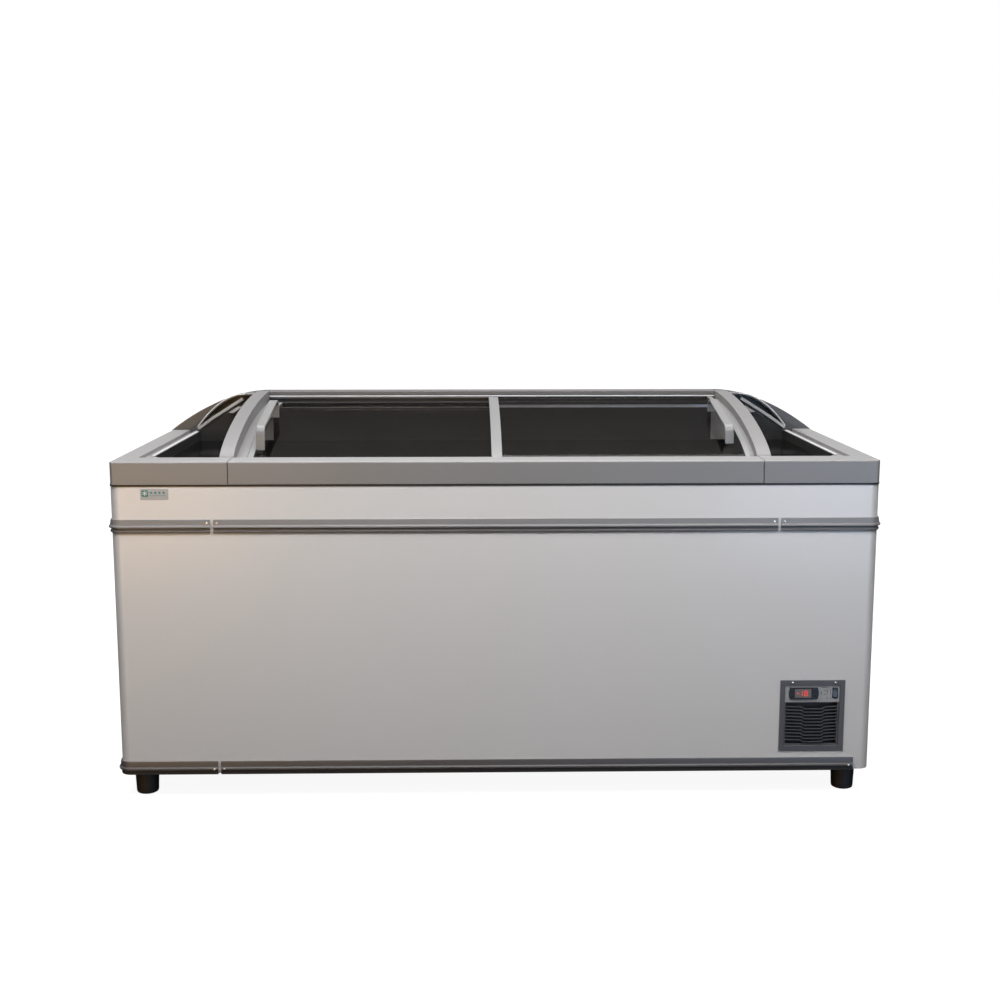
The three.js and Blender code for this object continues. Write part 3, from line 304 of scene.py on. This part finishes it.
def arc(x, y, radius, start, end, count):
    """Points on an arc, its angles in degrees."""
    turns = [math.radians(start + (end - start) * k / count) for k in range(count + 1)]
    return [(x + radius * math.cos(a), y + radius * math.sin(a)) for a in turns]


def rounded(width, height, radius, count=5):
    """A rounded rectangle about the origin."""
    x, y = width / 2 - radius, height / 2 - radius
    corners = ((x, y, 0), (-x, y, 90), (-x, -y, 180), (x, -y, 270))
    return [p for cx, cy, a in corners for p in arc(cx, cy, radius, a, a + 90, count)]


def facing(normal, at):
    """The matrix that turns +Z to a normal, keeps up pointing up, and moves to a place."""
    z = Vector(normal).normalized()
    up = Vector((0, 0, 1)) if abs(z.z) < 0.9 else Vector((0, 1, 0))
    x = up.cross(z).normalized()
    turn = Matrix((x, z.cross(x), z)).transposed().to_4x4()
    return Matrix.Translation(at) @ turn


def soften(piece, width, segments=2, angle=30):
    """Rounds the sharp edges and keeps the flats flat."""
    if width:
        bevel = piece.modifiers.new("edge_round", "BEVEL")
        bevel.width = width
        bevel.segments = segments
        bevel.limit_method = "ANGLE"
        bevel.angle_limit = math.radians(angle)
        bevel.use_clamp_overlap = True
    piece.data.shade_smooth()
    piece.data.set_sharp_from_angle(angle=math.radians(50))
    weigh = piece.modifiers.new("flat_faces", "WEIGHTED_NORMAL")
    weigh.keep_sharp = True


def add(name, shape, material, body="cabinet", nodes=(), edge=0.0, at=None):
    """Puts a piece, a bmesh or a mesh, in place on its body."""
    mesh = shape
    if isinstance(shape, bmesh.types.BMesh):
        if at is not None:
            shape.transform(at)
            at = None
        mesh = bpy.data.meshes.new(name)
        shape.to_mesh(mesh)
        shape.free()
    if not mesh.materials:
        mesh.materials.append(material)
    piece = bpy.data.objects.new(name, mesh)
    scene.collection.objects.link(piece)
    if at is not None:
        piece.matrix_world = at
    soften(piece, edge)
    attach(piece, body)
    if nodes:
        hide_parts(*nodes)
    return piece


def bar(name, xs, ys, zs, material, slot, body="cabinet", edge=0.0):
    """A straight strip between two places along each axis."""
    corners = [(xs[0], ys[0]), (xs[1], ys[0]), (xs[1], ys[1]), (xs[0], ys[1])]
    return add(name, loft([[(x, y, z) for x, y in corners] for z in zs]), material,
               body=body, edge=edge)


def on_front(name, outline, x, z, y, thick, material, slot, body="cabinet", turn=0.0):
    """A flat plate on a face that looks at the customer, its outline centred on x, z."""
    spin = Matrix.Rotation(math.radians(turn), 4, "Z")
    return add(name, prism(outline, thick), material, body=body,
               at=facing((0, -1, 0), (x, y, z)) @ spin)


def shifted(bm, lift):
    """The same bmesh, moved up."""
    bm.transform(Matrix.Translation((0, 0, lift)))
    return bm


def carve(body, *cutters):
    """One mesh less the others, as a mesh."""
    def held(bm):
        mesh = bpy.data.meshes.new("carve")
        bm.to_mesh(mesh)
        bm.free()
        holder = bpy.data.objects.new("carve", mesh)
        scene.collection.objects.link(holder)
        return holder

    base = held(body)
    tools = [held(cutter) for cutter in cutters]
    for tool in tools:
        cut = base.modifiers.new("cut", "BOOLEAN")
        cut.operation = "DIFFERENCE"
        cut.solver = "EXACT"
        cut.object = tool
    bpy.context.view_layer.update()
    graph = bpy.context.evaluated_depsgraph_get()
    mesh = bpy.data.meshes.new_from_object(base.evaluated_get(graph))
    for holder in (base, *tools):
        bpy.data.objects.remove(holder)
    return mesh


BODY_OF = {node: body for body, nodes in frame["record"]["behaviour"]["bodies"].items()
           for node in nodes}
SLOT_OF = {part["node"]: part["material_slot"] for part in frame["record"]["subparts"]}


def refine(node, material, edge):
    """A finished copy of a CAD node: joined faces, rounded edges and smooth curves."""
    bm = bmesh.new()
    bm.from_mesh(frame["nodes"][node].data)
    bmesh.ops.remove_doubles(bm, verts=bm.verts, dist=0.02 * MM)
    bmesh.ops.dissolve_limit(bm, angle_limit=math.radians(0.25), verts=bm.verts, edges=bm.edges)
    mesh = bpy.data.meshes.new(node + "_finish")
    bm.to_mesh(mesh)
    bm.free()
    return add(node + "_finish", mesh, material, BODY_OF[node], [node], edge)


# ---- the CAD parts with their finishes ---------------------------------------

# Slot: the material and how far its mouldings' edges are rounded.
SLOT_FINISH = {
    "white_steel": (WHITE_STEEL, 0.0),
    "base_steel": (BASE_STEEL, 0.3 * MM),
    "foam": (FOAM, 1.0 * MM),
    "liner": (LINER, 0.3 * MM),
    "liner_moulding": (LINER_MOULDING, 1.0 * MM),
    "frame_grey": (FRAME_GREY, 0.9 * MM),
    "light_grey": (LIGHT_GREY, 1.0 * MM),
    "lid_frame": (LID_GREY, 0.6 * MM),
    "lid_handle": (HANDLE_GREY, 1.6 * MM),
    "glass": (LID_GLASS, 0.4 * MM),
    "clear_window": (END_GLASS, 0.3 * MM),
    "bumper_grey": (BUMPER_GREY, 0.4 * MM),
    "base_rail_grey": (BASE_GREY, 0.4 * MM),
    "grille_grey": (GRILLE_GREY, 0.5 * MM),
    "control_plate": (PLATE_SILVER, 0.2 * MM),
    "black_plastic": (BLACK_PLASTIC, 0.4 * MM),
    "display_window": (LENS_GREY, 0.1 * MM),
    "track_aluminium": (ALUMINIUM, 0.2 * MM),
    "copper": (COPPER, 0.0),
    "compressor_paint": (BLACK_PAINT, 1.5 * MM),
}

# The rear hood's darker finish is painted shade.
NODE_FINISH = {"rear_hood": HOOD_PAINTED_SHADE, "ridge_rail": RIDGE_GREY}

for node_name, slot_name in SLOT_OF.items():
    if slot_name in SLOT_FINISH:
        finish, round_over = SLOT_FINISH[slot_name]
        refine(node_name, NODE_FINISH.get(node_name, finish), round_over)

LID_BAR = 8.2 * MM


def darken_bars(lid):
    """The bars that run in the tracks, front and rear, take the dark seal material: painted shade,
    so they don't read as lit strips.
    """
    piece = bpy.data.objects[lid + "_frame_finish"]
    low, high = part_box(lid + "_frame")
    piece.data.materials.append(SEAL_AND_PAINTED_SHADE)
    for face in piece.data.polygons:
        if not low.y + LID_BAR < face.center.y < high.y - LID_BAR:
            face.material_index = 1


for lid_name in ("left_lid", "right_lid"):
    darken_bars(lid_name)


LINING_X = abs(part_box("right_end_window")[1].x) - 9 * MM
LINING_FRONT = FRONT + 90 * MM


def line_inside(side):
    """The end frame's wall over the tub is covered by the dark liner's turned-up edge."""
    piece = bpy.data.objects[side + "_end_frame_finish"]
    piece.data.materials.append(LINER_MOULDING)
    for face in piece.data.polygons:
        over_tub = abs(face.center.x) < LINING_X and face.center.y > LINING_FRONT
        if over_tub and abs(face.normal.z) < 0.5:
            face.material_index = 1


for side_name, _ in SIDES:
    line_inside(side_name)

# ---- feet --------------------------------------------------------------------

FOOT_FLUTES = 20
FLUTE_DEPTH = 0.016


def foot(node):
    """A tapered rubber foot with shallow flutes and a narrower ring on top."""
    low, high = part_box(node)
    centre = (low + high) / 2
    top, height = (high.x - low.x) / 2, high.z - low.z
    # Share of the height, and share of the width there.
    levels = [(0.0, 0.80), (0.02, 0.87), (0.07, 0.91), (0.30, 0.93), (0.80, 0.98), (0.9, 1.0),
              (0.955, 1.0), (0.96, 0.8), (1.0, 0.8)]
    turns = [2 * math.pi * k / (6 * FOOT_FLUTES) for k in range(6 * FOOT_FLUTES)]
    rings = []
    for share, width in levels:
        depth = FLUTE_DEPTH if 0.05 < share < 0.85 else 0.0
        ring = []
        for a in turns:
            reach = top * width * (1 - depth * (0.5 + 0.5 * math.cos(FOOT_FLUTES * a)) ** 4)
            ring.append((reach * math.cos(a), reach * math.sin(a), height * share))
        rings.append(ring)
    add(node + "_finish", loft(rings), RUBBER_AND_PAINTED_SHADE, nodes=[node],
        at=Matrix.Translation((centre.x, centre.y, low.z)))


for corner in ("front_left", "front_right", "rear_left", "rear_right"):
    foot("foot_" + corner)

# ---- screws ------------------------------------------------------------------


def screw_mesh(radius):
    """A pan head with a cross recess."""
    height = radius * 0.55
    head = revolve([(radius, 0), (radius, 0.35 * height), (0.86 * radius, 0.75 * height),
                    (0.55 * radius, height)], 28)
    bars = []
    for turn in (0, math.pi / 2):
        bar = prism(rounded(1.2 * radius, 0.26 * radius, 0.06 * radius, 2), height)
        bar.transform(Matrix.Translation((0, 0, 0.45 * height)) @ Matrix.Rotation(turn, 4, "Z"))
        bars.append(bar)
    mesh = carve(head, *bars)
    mesh.name = "screw"
    mesh.materials.clear()
    mesh.materials.append(ZINC)
    return mesh


RAIL_SCREW = screw_mesh(3.1 * MM)


def screw(name, mesh, at, normal, turn=20):
    spin = Matrix.Rotation(math.radians(turn), 4, "Z")
    return add(name, mesh, ZINC, at=facing(normal, at) @ spin)


RAIL_SPLIT = (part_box("bumper_right")[0].x + BUMPER_HIGH.x) / 2
SCREW_FROM_SPLIT = 12 * MM
BUMPER_SCREW_Z = BUMPER_HIGH.z - 9 * MM
BUMPER_FACE = 4.2 * MM


def rail_screws():
    for side in (-1, 1):
        for way in (-1, 1):
            x = side * RAIL_SPLIT + way * SCREW_FROM_SPLIT
            name = f"{'left' if side < 0 else 'right'}_{'a' if way < 0 else 'b'}"
            screw(f"bumper_screw_front_{name}", RAIL_SCREW,
                  (x, BODY_FRONT - BUMPER_FACE, BUMPER_SCREW_Z), (0, -1, 0.17), turn=25 * way)
            screw(f"bumper_screw_rear_{name}", RAIL_SCREW,
                  (x, BODY_REAR + BUMPER_FACE, BUMPER_SCREW_Z), (0, 1, 0.17), turn=-35 * way)
    split = (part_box("base_rail_left")[1].x + BASE_LOW.x) / 2
    z = BASE_HIGH.z - 19 * MM
    places = (split - SCREW_FROM_SPLIT, split + SCREW_FROM_SPLIT, BASE_HIGH.x - SCREW_FROM_SPLIT)
    for k, x in enumerate(places):
        screw(f"base_rail_screw_{k + 1}", RAIL_SCREW, (x, BASE_LOW.y + 0.2 * MM, z), (0, -1, 0),
              turn=15 + 30 * k)


rail_screws()

GRILLE_SCREW_SHARES = (0.19, 0.85)
for k, share in enumerate(GRILLE_SCREW_SHARES):
    x = GRILLE_LOW.x + share * (GRILLE_HIGH.x - GRILLE_LOW.x)
    screw(f"grille_screw_{k + 1}", RAIL_SCREW, (x, GRILLE_LOW.y, GRILLE_HIGH.z - 6.5 * MM),
          (0, -1, 0), turn=10 + 50 * k)

# ---- top frame trims and painted highlights ----------------------------------

SHELF_FOOT, SHELF_END = 76 * MM, 224 * MM
SHELF_TOP = 108 * MM
TRIM_FRONT, TRIM_BACK = SHELF_FRONT - 2.4 * MM, SHELF_FRONT - 0.2 * MM


def band(line, width):
    """A closed outline round a centre line, the same width all along."""
    sides = ([], [])
    for i, (u, v) in enumerate(line):
        u0, v0 = line[max(i - 1, 0)]
        u1, v1 = line[min(i + 1, len(line) - 1)]
        reach = width / (2 * math.hypot(u1 - u0, v1 - v0))
        for way, side in zip((1, -1), sides):
            side.append((u - way * reach * (v1 - v0), v + way * reach * (u1 - u0)))
    return sides[0] + sides[1][::-1]


def upright(side, outline, near, far):
    """A plate from [distance in from the end, height over the rim], between two depths."""
    rings = [[(side * (END - u), y, RIM + v) for u, v in outline] for y in (near, far)]
    return loft(rings)


def shelf_line(count=14):
    """The shoulder's curve: distance in from the end and height over the rim."""
    line = []
    for k in range(count + 1):
        d = SHELF_FOOT + (SHELF_END - SHELF_FOOT) * k / count
        t = (SHELF_END - d) / (SHELF_END - SHELF_FOOT)
        line.append((d, SHELF_TOP * (1 - t * t) - 1.2 * MM))
    return line[1:]


SHOULDER_BAR = [(88 * MM, 8 * MM), (130 * MM, 38 * MM), (171 * MM, 64 * MM), (217 * MM, 93 * MM)]
SHOULDER_TAB = [(176 * MM, 54 * MM), (204 * MM, 71 * MM), (216 * MM, 71 * MM), (190 * MM, 52 * MM)]
LIP = (83 * MM, 87.5 * MM)
LIP_DEPTHS = (FRONT + 110 * MM, FRONT + 668 * MM)
GUSSET = [(88.4 * MM, 80.6 * MM), (112 * MM, 80.6 * MM), (88.4 * MM, 104 * MM)]


def end_trims(name, side):
    # The shoulder edge and the lip strip are painted highlights, near-white strips for lit edges;
    # the bar, tab and gusset carry painted light.
    add(f"{name}_shoulder_edge", upright(side, band(shelf_line(), 2.6 * MM), TRIM_FRONT, TRIM_BACK),
        TRIM_PAINTED_HIGHLIGHT, edge=0.3 * MM)
    add(f"{name}_shoulder_bar", upright(side, band(SHOULDER_BAR, 8 * MM), TRIM_FRONT, TRIM_BACK),
        SHOULDER_PAINTED_LIGHT, edge=0.5 * MM)
    add(f"{name}_shoulder_tab", upright(side, SHOULDER_TAB, TRIM_FRONT - 6 * MM,
                                        TRIM_FRONT - 0.5 * MM),
        SHOULDER_PAINTED_LIGHT, edge=0.5 * MM)
    lip = [(LIP[0], 0.1 * MM), (LIP[1], 0.1 * MM), (LIP[1], 0.6 * MM), (LIP[0], 0.6 * MM)]
    add(f"{name}_lip_strip", upright(side, lip, *LIP_DEPTHS), TRIM_PAINTED_HIGHLIGHT)
    rings = [[(side * (END - u), FRONT + d, RIM + h) for u, d in GUSSET]
             for h in (-4 * MM, -1 * MM)]
    add(f"{name}_gusset", loft(rings), SHOULDER_PAINTED_LIGHT, edge=0.3 * MM)


for side_name, way in SIDES:
    end_trims(side_name, way)

POST_LOW, POST_HIGH = 820.5 * MM, 911 * MM
POST_X = (627 * MM, 676 * MM)
POST_FRONT = TUB_REAR - 11.3 * MM


# Pale plates in front of the rear posts: painted light.
for side_name, way in SIDES:
    bar(f"{side_name}_post_face", sorted(way * x for x in POST_X),
        (POST_FRONT - 0.8 * MM, POST_FRONT - 0.1 * MM), (POST_LOW, POST_HIGH), POST_PAINTED_LIGHT,
        "light_grey")
RIDGE_X = (RIDGE_LOW.x + 1 * MM, RIDGE_HIGH.x - 1 * MM)
RIDGE_HIGHLIGHT_Z = (RIDGE_LOW.z + 5.2 * MM, RIDGE_LOW.z + 8.2 * MM)
RIDGE_SHADOW_Z = (RIDGE_LOW.z + 8.5 * MM, RIDGE_LOW.z + 10.1 * MM)
# The near-white strip under the ridge rail is a painted highlight: it stands for the lit edge
# there.
bar("ridge_highlight_strip", RIDGE_X, (RIDGE_LOW.y - 1.3 * MM, RIDGE_LOW.y - 0.2 * MM), RIDGE_HIGHLIGHT_Z,
    TRIM_PAINTED_HIGHLIGHT, "light_grey", edge=0.3 * MM)
# The dark strip over the light one is painted shadow: it stands for the shade in the groove under
# the ridge rail.
bar("ridge_shadow_strip", RIDGE_X, (RIDGE_LOW.y - 0.9 * MM, RIDGE_LOW.y - 0.2 * MM), RIDGE_SHADOW_Z,
    SEAL_AND_PAINTED_SHADE, "rubber")

TUB_SEAM_X, TUB_SEAM_Z = (-838 * MM, 838 * MM), (817.6 * MM, 820.2 * MM)
bar("tub_seam", TUB_SEAM_X, (TUB_REAR - 0.5 * MM, TUB_REAR - 0.1 * MM), TUB_SEAM_Z, SEAL_AND_PAINTED_SHADE,
    "rubber")

# The dark strip under the fascia is painted shadow: it stands for the shade cast by the fascia's
# overhang.
RIM_SHADOW_DROP, RIM_SHADOW_HEIGHT = 0.3 * MM, 4.2 * MM


def painted_shadow_and_seal():
    """A dark strip between the top frame and the cabinet, all the way round: painted shadow of the
    fascia's overhang.
    """
    def loop(out, z):
        x, y = END - BODY_CORNER, BODY_REAR - BODY_CORNER
        corners = ((x, y, 0), (-x, y, 90), (-x, -y, 180), (x, -y, 270))
        return [(px, py, z) for cx, cy, a in corners
                for px, py in arc(cx, cy, BODY_CORNER + out, a, a + 90, 8)]

    high = FASCIA_BOTTOM - RIM_SHADOW_DROP
    low = high - RIM_SHADOW_HEIGHT
    levels = ((0.2 * MM, high), (1.4 * MM, high), (1.4 * MM, low), (0.2 * MM, low))
    add("painted_shadow_and_seal", loft([loop(out, z) for out, z in levels], loop=True), SEAL_AND_PAINTED_SHADE)


painted_shadow_and_seal()

# The side panels' turned-in top edges, over the foam.
FLANGE_LOW, FLANGE_HIGH = FASCIA_BOTTOM - 0.28 * MM, FASCIA_BOTTOM - 0.04 * MM
for side_name, way in SIDES:
    bar(f"{side_name}_top_flange", sorted((way * (END - 9 * MM), way * (END - 0.1 * MM))),
        (BODY_FRONT + BODY_CORNER, BODY_REAR - BODY_CORNER), (FLANGE_LOW, FLANGE_HIGH),
        WHITE_STEEL, "white_steel")

# ---- badge on the front ------------------------------------------------------

FACE = BODY_FRONT - 0.15 * MM
BADGE_X, BADGE_Z = (-855 * MM, -788 * MM), (752.5 * MM, 779 * MM)
BADGE_THICK = 0.5 * MM


def star(radius, inner, points, turn=90):
    """A star's outline about the origin."""
    places = []
    for k in range(2 * points):
        reach = radius if k % 2 == 0 else inner
        angle = math.radians(turn + 180 * k / points)
        places.append((reach * math.cos(angle), reach * math.sin(angle)))
    return places


def badge():
    """A generic cold-storage badge: a snowflake square, four stars and a rule."""
    x = sum(BADGE_X) / 2
    z = sum(BADGE_Z) / 2
    wide, tall = BADGE_X[1] - BADGE_X[0], BADGE_Z[1] - BADGE_Z[0]
    on_front("badge_plate", rounded(wide, tall, 1.5 * MM), x, z, FACE, BADGE_THICK, LABEL_FILM,
             "control_plate")
    top = FACE - BADGE_THICK - 0.05 * MM
    square = (BADGE_X[0] + 11 * MM, z + 2.5 * MM)
    on_front("badge_square", rounded(16 * MM, 17 * MM, 3 * MM), *square, top, 0.15 * MM,
             LABEL_TEAL, "control_plate")
    for k in range(3):
        on_front(f"badge_flake_{k + 1}", rounded(12 * MM, 1.5 * MM, 0.4 * MM, 2), *square,
                 top - (0.22 + 0.12 * k) * MM, 0.1 * MM, LABEL_WHITE, "control_plate",
                 turn=30 + 60 * k)
    for k in range(4):
        on_front(f"badge_star_{k + 1}", star(4.2 * MM, 1.8 * MM, 6),
                 BADGE_X[0] + (26 + 10 * k) * MM, z + 4 * MM, top, 0.15 * MM, LABEL_TEAL,
                 "control_plate")
    on_front("badge_rule", rounded(39 * MM, 0.9 * MM, 0.3 * MM, 2), BADGE_X[0] + 41 * MM,
             z - 3.2 * MM, top, 0.1 * MM, LABEL_TEAL, "control_plate")


badge()

# ---- painted shade behind the louvres: a black plate --------------------------

LOUVRE_SHADE_X = (GRILLE_LOW.x + 14 * MM, GRILLE_HIGH.x - 14 * MM)
LOUVRE_SHADE_Z = (GRILLE_LOW.z + 14 * MM, GRILLE_HIGH.z - 60 * MM)
# A black plate behind the louvres: painted shade, so the gaps read dark.
bar("louvre_shade_plate", LOUVRE_SHADE_X, (FRONT + 27 * MM, FRONT + 29 * MM), LOUVRE_SHADE_Z, RUBBER_AND_PAINTED_SHADE, "rubber")

# ---- control panel details ---------------------------------------------------

LENS_FACE = LENS_LOW.y - 0.06 * MM
DIGIT_WIDE, DIGIT_TALL, SEGMENT = 7.0 * MM, 13.0 * MM, 1.8 * MM
# Segments as share across, share up, and whether they stand.
SEGMENTS = {"a": (0, 1, False), "g": (0, 0, False), "d": (0, -1, False), "f": (-1, 0.5, True),
            "b": (1, 0.5, True), "e": (-1, -0.5, True), "c": (1, -0.5, True)}
# Where each sign stands on the lens, and its lit segments.
GLYPHS = {"minus": (8 * MM, "g"), "one": (15 * MM, "bc"), "eight": (28 * MM, "abcdefg")}


def digits():
    z = (LENS_LOW.z + LENS_HIGH.z) / 2
    for glyph, (across_lens, lit) in GLYPHS.items():
        x = LENS_LOW.x + across_lens
        for segment in lit:
            across, up, stands = SEGMENTS[segment]
            size = (DIGIT_WIDE - SEGMENT, SEGMENT)
            if stands:
                size = (SEGMENT, DIGIT_TALL / 2 - SEGMENT)
            on_front(f"digit_{glyph}_{segment}", rounded(*size, 0.4 * MM, 2),
                     x + across * DIGIT_WIDE / 2, z + up * DIGIT_TALL / 2, LENS_FACE,
                     0.12 * MM, DIGIT_RED, "display_window")


digits()

PLATE_FACE = PLATE_LOW.y - 0.05 * MM
# Printed marks right of the display: place across the plate, height share, length, stands.
PRINTS = [(0.665, 0.52, 9, True), (0.735, 0.66, 6, False), (0.735, 0.44, 5, False),
          (0.775, 0.62, 11, True), (0.775, 0.22, 6, True), (0.835, 0.60, 13, True),
          (0.835, 0.18, 5, True), (0.72, 0.84, 16, False)]


def prints():
    wide, tall = PLATE_HIGH.x - PLATE_LOW.x, PLATE_HIGH.z - PLATE_LOW.z
    for k, (across, up, length, stands) in enumerate(PRINTS):
        size = (1.1 * MM, length * MM) if stands else (length * MM, 1.1 * MM)
        on_front(f"plate_print_{k + 1}", rounded(*size, 0.3 * MM, 2), PLATE_LOW.x + across * wide,
                 PLATE_LOW.z + up * tall, PLATE_FACE, 0.08 * MM, PRINT_DARK, "control_plate")
    x = (SWITCH_LOW.x + SWITCH_HIGH.x) / 2
    z = (SWITCH_LOW.z + SWITCH_HIGH.z) / 2
    frame_size = (SWITCH_HIGH.x - SWITCH_LOW.x + 4.4 * MM, SWITCH_HIGH.z - SWITCH_LOW.z + 7 * MM)
    hole = rounded(SWITCH_HIGH.x - SWITCH_LOW.x + 1.6 * MM, 24.4 * MM, 0.8 * MM, 2)
    plate = prism(rounded(*frame_size, 1.6 * MM), 0.9 * MM)
    ring = carve(plate, shifted(prism(hole, 3 * MM), -1 * MM))
    ring.materials.clear()
    ring.materials.append(BLACK_PLASTIC)
    add("switch_surround", ring, BLACK_PLASTIC,
        at=facing((0, -1, 0), (x, PLATE_FACE, z)))


prints()

# ---- stage -------------------------------------------------------------------


FLOOR_RADIUS = 60


def make_floor():
    """A pale disc that shades softly under the freezer and runs out to plain white."""
    turns = [2 * math.pi * k / 96 for k in range(96)]
    bm = bmesh.new()
    bm.faces.new([bm.verts.new((FLOOR_RADIUS * math.cos(a), FLOOR_RADIUS * math.sin(a), 0))
                  for a in turns])
    mesh = bpy.data.meshes.new("floor")
    bm.to_mesh(mesh)
    bm.free()
    material, graph = new_material("pale_floor")
    place = graph.add("TexCoord").outputs["Object"]
    reach = graph.add("VectorMath", {0: place}, operation="LENGTH").outputs["Value"]
    away = graph.add("MapRange", {"Value": reach, "From Min": 1.0, "From Max": 2.6,
                                  "To Min": 0.93, "To Max": 1.0}, interpolation_type="SMOOTHSTEP")
    tone = graph.add("HueSaturation", {"Value": graph.spread(graph.noise(place, 3.0), 0.98, 1.0),
                                       "Color": (0.18, 0.18, 0.18, 1)}).outputs["Color"]
    shader = graph.add("BsdfPrincipled", {
        "Base Color": tone, "Roughness": 0.9, "Specular IOR Level": 0.0,
        "Emission Color": (1, 1, 1, 1), "Emission Strength": away.outputs["Result"]})
    graph.add("OutputMaterial", {"Surface": shader.outputs["BSDF"]})
    mesh.materials.append(material)
    floor = bpy.data.objects.new("floor", mesh)
    scene.collection.objects.link(floor)
    floor.visible_diffuse = False
    floor.visible_glossy = False


WHITE = (1, 1, 1)
WARM, DEEP_WARM = (1.0, 0.83, 0.68), (1.0, 0.55, 0.14)
COOL, DEEP_COOL = (0.80, 0.86, 1.0), (0.52, 0.70, 1.0)
# Name: place, aimed at, width, depth, watts, colour, and which rays see it. The two panels only
# tint reflections, warm on the left and cool on the right.
LIGHTS = {
    "key_softbox": ((0.0, -1.45, 2.6), (0, -0.3, 0.6), 3.2, 0.9, 64, WHITE, "all"),
    "top_softbox": ((0.0, 0.5, 3.4), (0, 0, 0.8), 3.6, 2.0, 112, WHITE, "all"),
    "warm_side": ((-3.2, -2.6, 1.9), (-0.4, -0.3, 0.6), 1.2, 2.0, 14, WARM, "all"),
    "cool_side": ((3.2, -2.6, 1.9), (0.4, -0.3, 0.6), 1.2, 2.0, 13, COOL, "all"),
    "warm_panel": ((-2.1, -3.6, 0.5), (-0.7, -0.3, 0.7), 1.9, 1.3, 60, DEEP_WARM, "glossy"),
    "cool_panel": ((2.1, -3.6, 0.5), (0.7, -0.3, 0.7), 1.9, 1.3, 66, DEEP_COOL, "glossy"),
    "rear_fill": ((0.0, 4.6, 2.4), (0, 0.3, 0.5), 4.0, 2.0, 90, WHITE, "diffuse"),
}


def make_lights():
    for name, (at, target, width, depth, watts, color, seen_by) in LIGHTS.items():
        data = bpy.data.lights.new(name, "AREA")
        data.shape = "RECTANGLE"
        data.size, data.size_y = width, depth
        data.energy = watts
        data.color = color
        lamp = bpy.data.objects.new(name, data)
        lamp.location = at
        lamp.rotation_euler = (Vector(target) - Vector(at)).to_track_quat("-Z", "Y").to_euler()
        lamp.visible_camera = False
        lamp.visible_diffuse = seen_by != "glossy"
        lamp.visible_glossy = seen_by != "diffuse"
        scene.collection.objects.link(lamp)


SKY = 0.34
GROUND = 0.0


def make_world():
    """Soft grey light from all round, and plain white behind the object."""
    world = bpy.data.worlds.new("studio")
    scene.world = world
    world.use_nodes = True
    graph = Graph(world.node_tree)
    direction = graph.add("TexCoord").outputs["Generated"]
    height = graph.add("SeparateXYZ", {"Vector": direction}).outputs["Z"]
    level = graph.add("MapRange", {"Value": height, "From Min": -0.1, "From Max": 0.8,
                                   "To Min": GROUND, "To Max": SKY}).outputs["Result"]
    seen = graph.add("LightPath").outputs["Is Camera Ray"]
    strength = graph.add("Mix", {0: seen, 2: level, 3: 1.0}).outputs[0]
    light = graph.add("Background", {"Color": (1, 1, 1, 1), "Strength": strength})
    graph.add("OutputWorld", {"Surface": light.outputs["Background"]})


# The camera fitted to the photograph: millimetres of lens, then metres and degrees.
CAMERA_LENS, CAMERA_SENSOR = 49.78, 36
CAMERA_AT = (-0.058, -3.664, 1.2745)
CAMERA_TILT, CAMERA_TURN = 80.94, -1.142


def make_camera():
    data = bpy.data.cameras.new("camera")
    data.lens = CAMERA_LENS
    data.sensor_width = CAMERA_SENSOR
    camera = bpy.data.objects.new("camera", data)
    camera.location = CAMERA_AT
    camera.rotation_euler = (math.radians(CAMERA_TILT), 0, math.radians(CAMERA_TURN))
    scene.collection.objects.link(camera)
    scene.camera = camera


scene.view_settings.view_transform = "Standard"
make_floor()
make_lights()
make_world()
make_camera()
